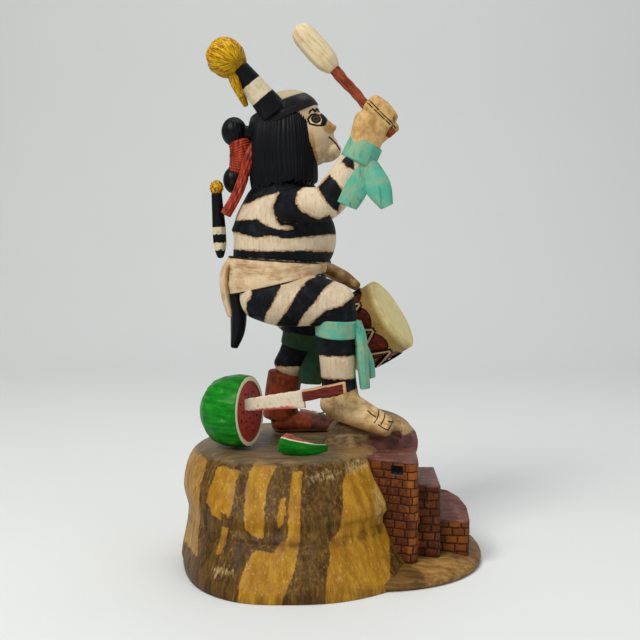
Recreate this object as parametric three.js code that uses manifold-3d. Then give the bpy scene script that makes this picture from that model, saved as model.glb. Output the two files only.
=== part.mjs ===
import * as THREE from "three";
import { mergeVertices } from "three/addons/utils/BufferGeometryUtils.js";
import Module from "manifold-3d";

// A striped drummer stands on a carved mesa with pueblo rooms at its side. Millimetres, +Z up, the
// figure facing +X. The origin is on the underside of the mesa.

// Mesa and rooms
const MESA_LENGTH = 183;
const MESA_DEPTH = 170;
const MESA_HEIGHT = 70;
const RIDGE_HEIGHT = 16;
const APRON_HEIGHT = 9;
const TALL_ROOM_HEIGHT = 67;
const MIDDLE_ROOM_HEIGHT = 51;
const LOW_ROOM_HEIGHT = 37;
const LOW_ROOF_SLOPE = 12;
const WINDOW_WIDTH = 7;
const WINDOW_HEIGHT = 4.6;
const WINDOW_DEPTH = 3;

// Figure, from the mesa top to the headband
const FIGURE_HEIGHT = 200;

// Horns with husk tassels
const HORN_BASE_RADIUS = 8.6;
const HORN_TIP_RADIUS = 5.6;
const HUSK_RADIUS = 11.4;
const STRAND_RADIUS = 1.7;

// Drum and beater
const DRUM_RADIUS = 23.6;
const DRUM_LENGTH = 36;
const DRUM_EDGE = 2.5;
const BEATER_SHAFT_RADIUS = 2.8;
const BEATER_SHAFT_LENGTH = 47;
const BEATER_HEAD_RADIUS = 6.9;
const BEATER_HEAD_LENGTH = 31;

// Melon, slices and knife
const MELON_RADIUS = 21;
const MELON_LENGTH = 29;
const SLICE_ANGLE = 25;
const SLICE_FLESH_START = 9;
const SLICE_ROLL = 4;
const NEAR_SLICE_LENGTH = 28;
const FAR_SLICE_LENGTH = 18;
const BLADE_LENGTH = 32;
const BLADE_HEIGHT = 10.6;
const BLADE_POINT_HEIGHT = 6;
const BLADE_THICKNESS = 2.2;
const HANDLE_LENGTH = 25;
const HANDLE_HEIGHT = 6.6;
const HANDLE_THICKNESS = 5;
const BLADE_IN_MELON = 12;

// Stick that hangs behind the back
const PENDANT_LENGTH = 33;
const PENDANT_RADIUS = 3.4;
const KNOT_RADIUS = 4.2;

// Clearance between pieces that touch
const GAP = 0.3;

const wasm = await Module();
wasm.setup();

const DEGREE = Math.PI / 180;

/** Turns a closed geometry into a solid that can be joined and cut. */
function solidOf(geometry) {
  const bare = geometry.clone();
  bare.deleteAttribute("normal");
  bare.deleteAttribute("uv");
  const merged = mergeVertices(bare, 1e-4);
  const vertProperties = new Float32Array(merged.attributes.position.array);
  const triVerts = new Uint32Array(merged.index.array);
  return new wasm.Manifold(new wasm.Mesh({ numProp: 3, vertProperties, triVerts }));
}

/** Turns a solid back into a geometry. */
function geometryOf(solid) {
  const mesh = solid.getMesh();
  const geometry = new THREE.BufferGeometry();
  geometry.setAttribute("position", new THREE.BufferAttribute(Float32Array.from(mesh.vertProperties), 3));
  geometry.setIndex(Array.from(mesh.triVerts));
  geometry.computeVertexNormals();
  return geometry;
}

function joined(solids) {
  return solids.reduce((whole, next) => whole.add(next));
}

/** Catmull-Rom value of a row of numbers at a place along a list of such rows. */
function along(rows, place) {
  const last = rows.length - 1;
  const start = Math.min(Math.floor(place), last - 1);
  const t = place - start;
  const before = rows[Math.max(start - 1, 0)];
  const from = rows[start];
  const to = rows[start + 1];
  const after = rows[Math.min(start + 2, last)];
  return from.map((value, i) => {
    const slopeFrom = (to[i] - before[i]) / 2;
    const slopeTo = (after[i] - value) / 2;
    const rise = to[i] - value;
    return value + slopeFrom * t + (3 * rise - 2 * slopeFrom - slopeTo) * t ** 2
      + (slopeFrom + slopeTo - 2 * rise) * t ** 3;
  });
}

/** Cosine or sine pushed towards a square by a superellipse power. */
function squared(value, power) {
  return Math.sign(value) * Math.abs(value) ** (2 / power);
}

/**
 * A limb: rings across a path, with a dome on each end. A station is the ring's centre x, y, z, its
 * radius towards Y and its radius in the plane of the path.
 */
function limb(stations, { sides = 12, steps = 1, dome = 0.6, power = 2 } = {}) {
  const capRows = dome > 0.4 ? 2 : 1;
  const spans = stations.length - 1;
  const stepCount = spans === 1 ? 1 : steps;
  const rows = spans * stepCount + 2 * capRows;
  const geometry = new THREE.SphereGeometry(1, sides, rows);
  const position = geometry.attributes.position;
  const centre = new THREE.Vector3();
  const tangent = new THREE.Vector3();
  const side = new THREE.Vector3();
  const up = new THREE.Vector3();
  const point = new THREE.Vector3();
  for (let i = 0; i < position.count; i += 1) {
    const row = Math.floor(i / (sides + 1));
    const turn = ((i % (sides + 1)) / sides) * 2 * Math.PI;
    const place = Math.min(Math.max((row - capRows) / stepCount, 0), spans);
    const ring = along(stations, place);
    const ahead = along(stations, Math.min(place + 0.02, spans));
    const behind = along(stations, Math.max(place - 0.02, 0));
    tangent.set(ahead[0] - behind[0], ahead[1] - behind[1], ahead[2] - behind[2]).normalize();
    side.set(0, 1, 0).addScaledVector(tangent, -tangent.y).normalize();
    up.crossVectors(tangent, side);
    centre.set(ring[0], ring[1], ring[2]);
    let share = 1;
    const inStart = capRows - row;
    const inEnd = row - (rows - capRows);
    if (inStart > 0 || inEnd > 0) {
      const angle = (Math.max(inStart, inEnd) / capRows) * (Math.PI / 2);
      const reach = Math.sin(angle) * dome * Math.min(ring[3], ring[4]);
      centre.addScaledVector(tangent, inStart > 0 ? -reach : reach);
      share = Math.cos(angle);
    }
    point.copy(centre)
      .addScaledVector(side, -squared(Math.cos(turn), power) * share * ring[3])
      .addScaledVector(up, squared(Math.sin(turn), power) * share * ring[4]);
    position.setXYZ(i, point.x, point.y, point.z);
  }
  return solidOf(geometry);
}

/** An ellipsoid, tilted nose up by an angle in degrees. */
function ball([x, y, z], [rx, ry, rz], tilt = 0, sides = 16) {
  const geometry = new THREE.SphereGeometry(1, sides, Math.round(sides * 0.65));
  geometry.scale(rx, ry, rz);
  geometry.rotateY(-tilt * DEGREE);
  geometry.translate(x, y, z);
  return solidOf(geometry);
}

/** A box by its size, its place and its turn about Y and Z in degrees. */
function box(size, [x, y, z], tilt = 0, turn = 0) {
  const geometry = new THREE.BoxGeometry(...size);
  geometry.rotateY(-tilt * DEGREE);
  geometry.rotateZ(turn * DEGREE);
  geometry.translate(x, y, z);
  return solidOf(geometry);
}

/** A straight-walled block over a plan outline. */
function block(outline, height) {
  const plan = new THREE.Shape(outline.map(([x, y]) => new THREE.Vector2(x, y)));
  return solidOf(new THREE.ExtrudeGeometry(plan, { depth: height, bevelEnabled: false }));
}

/** A turned piece: a profile of [radius, distance], its axis laid from a start along a direction. */
function turnedPiece(profile, start, direction, sides = 24) {
  const points = profile.map(([radius, distance]) => new THREE.Vector2(radius, distance));
  const geometry = new THREE.LatheGeometry(points, sides);
  const turn = new THREE.Quaternion().setFromUnitVectors(new THREE.Vector3(0, 1, 0), direction);
  geometry.applyQuaternion(turn);
  geometry.translate(start.x, start.y, start.z);
  return solidOf(geometry);
}

// The mesa is rings from its top to its underside. Each level is its height, then its left, right,
// front and back, in hundredths of the mesa's height, length and depth.
const MESA_LEVELS = [
  [100, -20, 2, -12, 14],
  [100, -36, 11, -29, 29],
  [98, -41.5, 13.5, -34, 32.5],
  [91, -44.8, 15, -36.8, 34],
  [80, -46.3, 17, -39, 35],
  [66, -46.8, 20.5, -42.5, 36.5],
  [55, -46, 22, -45, 37.5],
  [47, -45.3, 20.6, -45.6, 38],
  [30, -46, 23, -50, 39.5],
  [9, -47.4, 29, -54.6, 41.5],
  [0, -47, 30.5, -55.6, 41],
];
const MESA_SIDES = 40;
const MESA_SQUARENESS = 2.25;
const RIPPLE = 1.1;

function mesa() {
  const levels = MESA_LEVELS.length;
  const geometry = new THREE.SphereGeometry(1, MESA_SIDES, levels + 1);
  const position = geometry.attributes.position;
  const centreX = -0.15 * MESA_LENGTH;
  const centreY = -0.05 * MESA_DEPTH;
  for (let i = 0; i < position.count; i += 1) {
    const row = Math.floor(i / (MESA_SIDES + 1));
    const turn = ((i % (MESA_SIDES + 1)) / MESA_SIDES) * 2 * Math.PI;
    const level = MESA_LEVELS[Math.min(Math.max(row - 1, 0), levels - 1)];
    const [height, left, right, front, back] = level;
    const share = row === 0 || row === levels + 1 ? 0 : 1;
    const across = squared(-Math.cos(turn), MESA_SQUARENESS) * share;
    const deep = squared(Math.sin(turn), MESA_SQUARENESS) * share;
    const wave = Math.sin(7 * turn + 0.8) + 0.7 * Math.sin(11 * turn + height * 0.03);
    const ripple = 1 + (wave * RIPPLE * share * (height < 99 && height > 10 ? 1 : 0.2)) / (MESA_DEPTH / 2);
    const reachX = across < 0 ? centreX - (left / 100) * MESA_LENGTH : (right / 100) * MESA_LENGTH - centreX;
    const reachY = deep > 0 ? centreY - (front / 100) * MESA_DEPTH : (back / 100) * MESA_DEPTH - centreY;
    position.setXYZ(
      i,
      centreX + across * reachX * ripple,
      centreY - deep * reachY * ripple,
      (height / 100) * MESA_HEIGHT,
    );
  }
  return solidOf(geometry);
}

const part = FIGURE_HEIGHT / 200;

/** A place or a station of the figure, in 200ths of its height above the mesa top. */
function pose([x, y, z, ...radii]) {
  return [x * part, y * part, MESA_HEIGHT + z * part, ...radii.map((radius) => radius * part)];
}

function figureLimb(stations, options) {
  return limb(stations.map(pose), options);
}

function figureBall(centre, radii, tilt, sides) {
  return ball(pose(centre), radii.map((radius) => radius * part), tilt, sides);
}

// The raised foot stands on a slanting ledge of the rock.
const SOLE_SLOPE = -17.4;
const SOLE_MIDDLE = [15, -17, 10.9];
const SOLE_FOOTPRINT = [58, 34];
const CUT_DEPTH = 60;

/** The room on one side of the slanting sole, over the foot's own footprint. */
function besideSole(side, clearance) {
  const [x, y, z] = pose(SOLE_MIDDLE);
  const shift = side * (CUT_DEPTH / 2) - clearance;
  const slope = SOLE_SLOPE * DEGREE;
  return box(
    [SOLE_FOOTPRINT[0] * part, SOLE_FOOTPRINT[1] * part, CUT_DEPTH],
    [x - Math.sin(slope) * shift, y, z + Math.cos(slope) * shift],
    SOLE_SLOPE,
  );
}

// Beater: its axis runs down through the raised fist.
const fistCentre = new THREE.Vector3(...pose([24.2, -42, 189.8]));
const beaterAxis = new THREE.Vector3(31.3, 0, -34.5).normalize();
const beaterEnd = fistCentre.clone().addScaledVector(beaterAxis, 13.5 * part);

function beaterShaft(clearance) {
  const radius = BEATER_SHAFT_RADIUS + clearance;
  const start = beaterEnd.clone().addScaledVector(beaterAxis, clearance);
  const length = BEATER_SHAFT_LENGTH + clearance;
  return turnedPiece(
    [[0, 0], [radius, 0], [radius, length * 0.6], [radius * 1.15, length], [0, length]],
    start,
    beaterAxis.clone().negate(),
    12,
  );
}

function beater() {
  const top = BEATER_SHAFT_LENGTH + BEATER_HEAD_LENGTH;
  const low = BEATER_SHAFT_LENGTH - 1;
  const head = turnedPiece(
    [
      [0, low],
      [BEATER_SHAFT_RADIUS * 1.3, low],
      [BEATER_HEAD_RADIUS * 0.93, low + BEATER_HEAD_LENGTH * 0.2],
      [BEATER_HEAD_RADIUS, low + BEATER_HEAD_LENGTH * 0.45],
      [BEATER_HEAD_RADIUS * 0.95, top - BEATER_HEAD_LENGTH * 0.22],
      [BEATER_HEAD_RADIUS * 0.72, top - BEATER_HEAD_LENGTH * 0.07],
      [0, top],
    ],
    beaterEnd,
    beaterAxis.clone().negate(),
    16,
  );
  return beaterShaft(0).add(head);
}

// The horn on the left is set a little higher, in 200ths of the figure's height.
const FAR_HORN_LIFT = 3.6;

/** A tapering horn on the right side (-1) or the left side (1) of the head. */
function horn(side, clearance = 0) {
  const lift = side > 0 ? FAR_HORN_LIFT : 0;
  const [x, y, z] = pose([-32.2 - lift * 0.3, 12.4 * side, 194 + lift]);
  const [tipX, tipY, tipZ] = pose([-52 - lift * 0.6, 15.3 * side, 218.4 + lift]);
  const base = HORN_BASE_RADIUS + clearance;
  const tip = HORN_TIP_RADIUS + clearance;
  const foot = new THREE.Vector3(x, y, z);
  const end = new THREE.Vector3(tipX, tipY, tipZ);
  const lean = end.clone().sub(foot).normalize();
  foot.addScaledVector(lean, -clearance);
  return limb([[...foot, base, base], [...end, tip, tip]], { dome: 0.2, sides: 16 });
}

/** The round tassel on a horn, with the strand that hangs from it. */
function husk(side) {
  const lift = side > 0 ? FAR_HORN_LIFT : 0;
  const [x, y, z] = pose([-60 - lift * 0.4, 15.6 * side, 225 + lift]);
  const puff = ball([x, y, z], [HUSK_RADIUS, HUSK_RADIUS * 0.95, HUSK_RADIUS], 40, 14);
  const strand = limb([
    [...pose([-56.5, 16.5 * side, 219]), STRAND_RADIUS * 2, STRAND_RADIUS * 2],
    [...pose([-54.2, 18.6 * side, 210]), STRAND_RADIUS * 1.3, STRAND_RADIUS * 1.8],
    [...pose([-51, 19.8 * side, 202]), STRAND_RADIUS, STRAND_RADIUS],
  ], { sides: 8 });
  return puff.add(strand);
}

function head() {
  const skull = figureBall([-25, 0, 191], [18.5, 16.5, 17.5], 25, 16);
  const face = figureBall([-13.5, 0, 181], [16, 14.5, 17.5], 25, 16);
  const jaw = figureBall([-9.5, 0, 175], [12, 12.5, 11], 20, 12);
  const chin = figureBall([-2.8, 0, 173], [8.3, 8, 8.3], 20, 12);
  const nose = figureLimb([[-5, 0, 192, 2, 2.2], [-1, 0, 188, 2.4, 2.4], [1.6, 0, 185.6, 3.1, 3]], { sides: 8 });
  const lips = figureBall([2.6, 0, 177.6], [3.2, 5, 2.4], 10, 8);
  const headband = limb(
    [pose([-26.3, 0, 191.3, 17.7, 19.2]), pose([-28.3, 0, 195, 17.8, 19.3]), pose([-30.3, 0, 198.7, 17.2, 18.4])],
    { sides: 24, dome: 0.1 },
  );
  const hair = figureLimb([
    [-26.5, 0, 147, 18, 16],
    [-27.8, 0, 154, 21, 19.3],
    [-28.4, 0, 168, 20.6, 18.4],
    [-28.4, 0, 182, 19.6, 17.8],
    [-28, 0, 193, 17.5, 16.5],
  ], { sides: 16, dome: 0.3 });
  return [skull, face, jaw, chin, nose, lips, headband, hair];
}

function hairBun() {
  return [
    figureLimb([[-42, 0, 182, 4, 4], [-51, 0, 183.6, 4.4, 4.4]], { sides: 10 }),
    figureBall([-56.6, 0, 184], [7.6, 8, 8.7], 0, 12),
    figureLimb([[-53.6, 0, 178, 7.2, 6.5], [-51.6, 0, 169.5, 8.6, 8], [-54, 0, 160, 7.2, 6.5]], { dome: 0.3 }),
    figureBall([-56.6, 0, 155.6], [6.8, 7.4, 8.2], 0, 12),
    figureLimb([
      [-43.5, -6.5, 176, 2, 3.2],
      [-47, -9, 168, 2.2, 3.4],
      [-53, -10, 150, 2, 3.2],
      [-61, -11.6, 135, 2, 3.3],
    ], { sides: 10, dome: 0.2 }),
  ];
}

function torso() {
  const trunk = figureLimb([
    [-33, 0, 86, 22, 20],
    [-32, 0, 96, 25.5, 26],
    [-31, 0, 108, 25, 27],
    [-27.6, 0, 121, 26.5, 31.5],
    [-27, 0, 134, 26, 28.4],
    [-26.5, 0, 146, 24, 22.5],
    [-25.5, 0, 157, 16, 16],
    [-22, 0, 168, 11, 12],
  ], { sides: 16 });
  const sash = figureLimb([
    [-29.5, 0, 91, 25, 27],
    [-31.2, 0, 97, 26.8, 28.3],
    [-32, 0, 106.6, 26.2, 27.6],
  ], { sides: 16, dome: 0.15 });
  const flap = figureLimb([
    [-58.5, -2, 108, 9, 3],
    [-62.5, -2, 99, 9.5, 3.2],
    [-61.2, -2, 86, 9, 3.4],
    [-58.4, -2, 75, 8, 2.6],
  ], { sides: 12, dome: 0.3 });
  const tail = figureLimb([
    [-55.5, -6, 88, 7, 4],
    [-54.4, -6, 78, 7, 4.8],
    [-55, -6, 66, 6, 4.3],
    [-57, -6, 57, 4, 2.4],
  ], { sides: 12 });
  return [trunk, sash, flap, tail];
}

function arms() {
  const near = figureLimb([
    [-25, -20, 139, 11, 11],
    [-17, -29, 143, 12, 12],
    [-3, -37.5, 142, 10.4, 10.2],
    [5.5, -41, 151.5, 9.2, 9.6],
    [16.5, -42, 168, 7.8, 8],
  ]);
  const palm = figureLimb([[18.4, -42, 170, 8.4, 8], [24, -42.5, 183.6, 9.8, 9.8]], { power: 2.4 });
  const fingers = figureLimb([[21.8, -44, 195.4, 9, 6.4], [28, -44, 190, 9.6, 7.4], [33.6, -44, 183.8, 9, 6]], {
    sides: 12,
    power: 2.6,
  });
  const thumb = figureLimb([[25, -35, 176, 3.6, 4], [31, -35.5, 181, 3.8, 4.2], [36, -36, 184, 3.4, 3.6]], {
    sides: 8,

  });
  const band = figureLimb([[13.6, -42, 163, 10.3, 10.6], [19.6, -42, 174.5, 9.4, 10]], { sides: 14, dome: 0.15 });
  const firstTail = figureLimb([
    [14.5, -46, 161, 3, 6],
    [12, -47.5, 149, 3, 6.6],
    [7.6, -47.5, 138, 2.6, 5],
  ], { sides: 10, dome: 0.2 });
  const secondTail = figureLimb([
    [21, -46, 162, 3, 6],
    [27, -47.5, 149, 3, 6.8],
    [30.6, -47.5, 139.5, 2.5, 4.6],
  ], { sides: 10, dome: 0.2 });
  const far = figureLimb([
    [-25, 20, 139, 11, 11],
    [-23, 29, 134, 11, 11],
    [-25, 38, 112, 9.4, 9.6],
    [-14, 34, 105, 7.4, 7.4],
    [-2, 26, 101.6, 5.4, 5],
  ]);
  const farHand = figureLimb([[0, 25, 101, 6, 4.6], [9, 21, 96.6, 7.4, 4.4], [17, 19, 91.4, 6.4, 3]], {
    sides: 12,
  });
  const farBand = figureLimb([[-7, 30, 103, 7, 6.6], [-2, 27, 102, 6.6, 6]], { sides: 12, dome: 0.15 });
  return [near, palm, fingers, thumb, band, firstTail, secondTail, far, farHand, farBand];
}

function nearLeg() {
  const leg = [
    figureLimb([
      [-40, -12, 89, 14, 16],
      [-27, -15.5, 85, 15, 15.6],
      [-11, -17, 85, 14, 15],
      [3.6, -17, 81.6, 12.6, 13.6],
    ], { dome: 0.9 }),
    figureLimb([
      [4.4, -16, 77, 12.5, 12],
      [4, -15, 64, 12, 11.2],
      [4.6, -14.5, 52, 11.5, 10.8],
      [5.4, -14, 38, 11, 10.3],
      [7, -13.6, 24, 10.5, 11],
    ]),
    figureLimb([[1.5, -13.4, 26, 9.2, 9], [11, -15, 20, 10, 10.4], [24, -17, 12.6, 10.6, 8.4], [33, -18.5, 7.6, 10.6, 6.6]], {
      dome: 0.7,
    }),
    figureLimb([[4.2, -15.6, 70.5, 13, 12.4], [3.8, -15, 58.5, 12.4, 11.8]], { dome: 0.15 }),
    figureLimb([[15, -17, 72, 4, 3.6], [18, -18, 62, 4.5, 3.8], [19.6, -18.5, 45, 4.6, 3.4], [20.6, -18.5, 33.5, 4, 3]], {
      sides: 10,
      dome: 0.2,
    }),
    figureLimb([[17, -14, 64, 3, 2.4], [23, -13, 50, 3.6, 2.8], [25, -13, 39, 3, 2.2]], { sides: 8, dome: 0.2 }),
  ];
  return joined(leg).subtract(besideSole(-1, 0));
}

function farLeg() {
  const soleHeight = GAP / part;
  const leg = [
    figureLimb([[-33, 13, 88, 14, 15.6], [-24.6, 16, 77, 13, 12.8], [-16.4, 18, 66, 11.5, 10.4]]),
    figureLimb([[-16.4, 18, 65, 11, 10], [-20.8, 20, 50, 10.5, 10], [-25, 21.4, 41, 10, 10]]),
    figureLimb([[-17.4, 18.4, 67, 12, 11.4], [-18.8, 19, 56.5, 12, 11]], { dome: 0.15 }),
    figureLimb([[-9, 15, 61, 2.6, 4.4], [-11, 13.4, 46, 2.8, 6], [-10.6, 13.4, 31, 2.4, 5]], { sides: 10, dome: 0.2 }),
    figureLimb([[-27.4, 22, 36.5, 10.8, 10.8], [-29.4, 22.6, 24, 10.8, 10.8], [-30.8, 23, 9, 10.8, 10.6]], {
      dome: 0.2,
    }),
    figureLimb([[-31, 23, 6, 10.6, 7], [-14, 24, 5.4, 10.6, 6.2], [1, 25, 4.4, 9.4, 5]], { dome: 0.8 }),
  ];
  const floor = box(
    [120 * part, 80 * part, CUT_DEPTH],
    pose([-20, 23, soleHeight]).map((value, i) => (i === 2 ? value - CUT_DEPTH / 2 : value)),
  );
  return joined(leg).subtract(floor);
}

function mesaBase() {
  const ledge = MESA_HEIGHT - 3;
  const ridge = limb([
    [-9, -12, ledge - 1, 8, RIDGE_HEIGHT],
    [4, -11, ledge, 12, RIDGE_HEIGHT + 2.6],
    [17, -3, ledge, 20, RIDGE_HEIGHT + 2.6],
    [30, 6, ledge - 1, 27, RIDGE_HEIGHT + 3.4],
    [38.6, 10, ledge - 7, 25, RIDGE_HEIGHT + 4],
  ], { sides: 18, dome: 0.32, power: 2.4 });
  const shoulder = limb([
    [20, 22, 0, 42, 33],
    [19, 20, MESA_HEIGHT * 0.5, 38, 32],
    [17, 18, MESA_HEIGHT - 4, 34, 31.5],
  ], { sides: 24, dome: 0, power: 2.6 });
  const apron = limb([
    [19.5, -1, 0, 74, 71.5],
    [19.5, -1, APRON_HEIGHT * 0.4, 74, 72],
    [19.5, -1, APRON_HEIGHT * 0.75, 66, 67],
    [19.5, -1, APRON_HEIGHT, 52, 58],
  ], { sides: 36, dome: 0, power: 2.2 });
  const tallRoom = block([[20, -38], [24, -43], [44, -53.4], [48, -52.6], [49.8, -49], [52, 10], [20, 10]], TALL_ROOM_HEIGHT);
  const middleRoom = block([[46, -40], [61.5, -42.5], [63.3, -40.5], [64.4, 6], [46, 6]], MIDDLE_ROOM_HEIGHT);
  const lowRoom = block(
    [[50, -29], [79, -33], [81.6, -31], [82, -14], [79, -2], [73, 7], [64, 10], [50, 10]],
    LOW_ROOM_HEIGHT,
  );
  const slope = LOW_ROOF_SLOPE * DEGREE;
  const roof = new THREE.BoxGeometry(90, 90, CUT_DEPTH);
  roof.translate(0, 0, CUT_DEPTH / 2);
  roof.rotateX(slope);
  roof.translate(66, 10, LOW_ROOM_HEIGHT);
  const windowPlace = [37.6, -49.4, TALL_ROOM_HEIGHT - 5.6];
  const opening = box([WINDOW_WIDTH, WINDOW_DEPTH * 2, WINDOW_HEIGHT], windowPlace, 0, -27.5);
  return joined([mesa(), ridge, shoulder, apron, tallRoom, middleRoom, lowRoom.subtract(solidOf(roof))])
    .subtract(opening)
    .subtract(besideSole(1, GAP))
    .subtract(box([MESA_LENGTH * 2, MESA_DEPTH * 2, CUT_DEPTH], [0, 0, -CUT_DEPTH / 2]));
}

// Half melon, its cut face turned to the right and a little to the front
const melonCentre = new THREE.Vector3(-46, -30, MESA_HEIGHT + 1.02 * MELON_RADIUS + GAP);
const melonAxis = new THREE.Vector3(-0.935, 0.34, -0.04).normalize();

function melonBody() {
  const profile = [
    [0, 0],
    [MELON_RADIUS * 0.975, 0],
    [MELON_RADIUS, MELON_LENGTH * 0.25],
    [MELON_RADIUS * 0.96, MELON_LENGTH * 0.52],
    [MELON_RADIUS * 0.82, MELON_LENGTH * 0.76],
    [MELON_RADIUS * 0.5, MELON_LENGTH * 0.94],
    [0, MELON_LENGTH],
  ];
  return turnedPiece(profile, melonCentre, melonAxis, 28);
}

const BLADE_RISE = 6;
const bladeStart = new THREE.Vector3(-46 - BLADE_IN_MELON, -34, MESA_HEIGHT + 25);

/** The knife, its blade widening towards the handle. */
function knife(clearance) {
  const half = BLADE_POINT_HEIGHT / 2 + clearance;
  const length = BLADE_LENGTH + BLADE_IN_MELON;
  const outline = new THREE.Shape([
    new THREE.Vector2(-clearance, -half),
    new THREE.Vector2(length, -BLADE_HEIGHT / 2 - clearance),
    new THREE.Vector2(length, BLADE_HEIGHT / 2 + clearance),
    new THREE.Vector2(-clearance, half),
  ]);
  const thickness = BLADE_THICKNESS + 2 * clearance;
  const blade = new THREE.ExtrudeGeometry(outline, { depth: thickness, bevelEnabled: false });
  blade.translate(0, 0, -thickness / 2);
  const handle = new THREE.BoxGeometry(HANDLE_LENGTH + 1, HANDLE_HEIGHT, HANDLE_THICKNESS);
  handle.rotateZ(5 * DEGREE);
  handle.translate(length + HANDLE_LENGTH / 2 - 1, BLADE_HEIGHT / 2 - HANDLE_HEIGHT / 2 + 1, 0);
  const place = new THREE.Matrix4().makeRotationX(Math.PI / 2);
  place.premultiply(new THREE.Matrix4().makeRotationY(-BLADE_RISE * DEGREE));
  place.setPosition(bladeStart);
  blade.applyMatrix4(place);
  handle.applyMatrix4(place);
  return solidOf(blade).add(solidOf(handle));
}

/**
 * A slice that was cut across and bitten back to a rim of flesh: a wedge of the melon whose rind
 * faces the front, its thick end to the left. It is placed by its lowest point.
 */
function slice(length, [x, y], tilt, turn) {
  const rind = new THREE.SphereGeometry(MELON_RADIUS, 24, 14);
  rind.scale(length / MELON_RADIUS, 1, 1);
  const angle = SLICE_ANGLE * DEGREE;
  const reach = MELON_RADIUS * 2;
  const section = new THREE.Shape([
    new THREE.Vector2(-SLICE_FLESH_START, 0),
    new THREE.Vector2(-reach, 0),
    new THREE.Vector2(-reach, -reach * Math.tan(angle)),
    new THREE.Vector2(-SLICE_FLESH_START, -SLICE_FLESH_START * Math.tan(angle)),
  ]);
  const wedge = new THREE.ExtrudeGeometry(section, { depth: length + 2, bevelEnabled: false });
  const axes = new THREE.Matrix4().makeBasis(
    new THREE.Vector3(0, 1, 0),
    new THREE.Vector3(0, 0, 1),
    new THREE.Vector3(1, 0, 0),
  );
  wedge.applyMatrix4(axes);
  const cut = geometryOf(solidOf(rind).intersect(solidOf(wedge)));
  cut.rotateX(SLICE_ROLL * DEGREE);
  cut.rotateY(tilt * DEGREE);
  cut.rotateZ(turn * DEGREE);
  cut.computeBoundingBox();
  const { min, max } = cut.boundingBox;
  cut.translate(x - (min.x + max.x) / 2, y - (min.y + max.y) / 2, MESA_HEIGHT + GAP - min.z);
  return solidOf(cut);
}

function pendant() {
  const top = new THREE.Vector3(...pose([-66.8, -5, 148]));
  const down = new THREE.Vector3(0.05, 0.02, -1).normalize();
  const rod = turnedPiece(
    [
      [0, 0],
      [PENDANT_RADIUS * 0.8, 0],
      [PENDANT_RADIUS, PENDANT_LENGTH * 0.25],
      [PENDANT_RADIUS, PENDANT_LENGTH * 0.8],
      [PENDANT_RADIUS * 0.5, PENDANT_LENGTH + PENDANT_RADIUS * 1.6],
      [0, PENDANT_LENGTH + PENDANT_RADIUS * 2],
    ],
    top,
    down,
    12,
  );
  const knot = ball([top.x, top.y, top.z + KNOT_RADIUS * 0.7], [KNOT_RADIUS, KNOT_RADIUS, KNOT_RADIUS * 1.08], 0, 12);
  return rod.add(knot);
}

const drumCentre = new THREE.Vector3(...pose([40, 21, 74.6]));
const drumAxis = new THREE.Vector3(-0.811, 0.248, -0.53).normalize();

function drum() {
  const edge = DRUM_RADIUS - DRUM_EDGE;
  return turnedPiece(
    [
      [0, 0],
      [edge, 0],
      [DRUM_RADIUS - DRUM_EDGE * 0.3, DRUM_EDGE * 0.6],
      [DRUM_RADIUS, DRUM_LENGTH * 0.3],
      [DRUM_RADIUS, DRUM_LENGTH * 0.7],
      [DRUM_RADIUS - DRUM_EDGE * 0.3, DRUM_LENGTH - DRUM_EDGE * 0.6],
      [edge, DRUM_LENGTH],
      [0, DRUM_LENGTH],
    ],
    drumCentre,
    drumAxis,
    32,
  );
}

const sockets = [-1, 1].map((side) => horn(side, GAP));
const figure = joined([
  ...torso(),
  ...head(),
  ...hairBun(),
  ...arms(),
  nearLeg(),
  farLeg(),
]);

const group = new THREE.Group();

function add(name, solid, color, roughness = 0.6, metalness = 0) {
  const material = new THREE.MeshStandardMaterial({ color, roughness, metalness });
  const mesh = new THREE.Mesh(geometryOf(solid), material);
  mesh.name = name;
  group.add(mesh);
}

add("mesa_base", mesaBase(), 0x6e5230, 0.45);
add("clown_figure", figure.subtract(joined(sockets)).subtract(beaterShaft(GAP)), 0xcab795);
add("drum", drum(), 0xd9cda2, 0.5);
add("drum_beater", beater(), 0xe4d6b4);
add("horn_right", horn(-1).add(husk(-1)), 0xb9a684);
add("horn_left", horn(1).add(husk(1)), 0xb9a684);
add("watermelon_half", melonBody().subtract(knife(GAP)), 0x157022, 0.4);
add("knife", knife(0), 0xcfc3a2, 0.5);
add("melon_slice_near", slice(NEAR_SLICE_LENGTH, [-15, -47.5], 13, -16), 0x157022, 0.4);
add("melon_slice_far", slice(FAR_SLICE_LENGTH, [-11, 43], 8, 10), 0x0f4d1a, 0.4);
add("back_pendant", pendant(), 0x2b2723);

export default group;
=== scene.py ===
"""A striped, horned wooden drummer on a carved mesa, dressed over the solids of its frame."""

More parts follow.
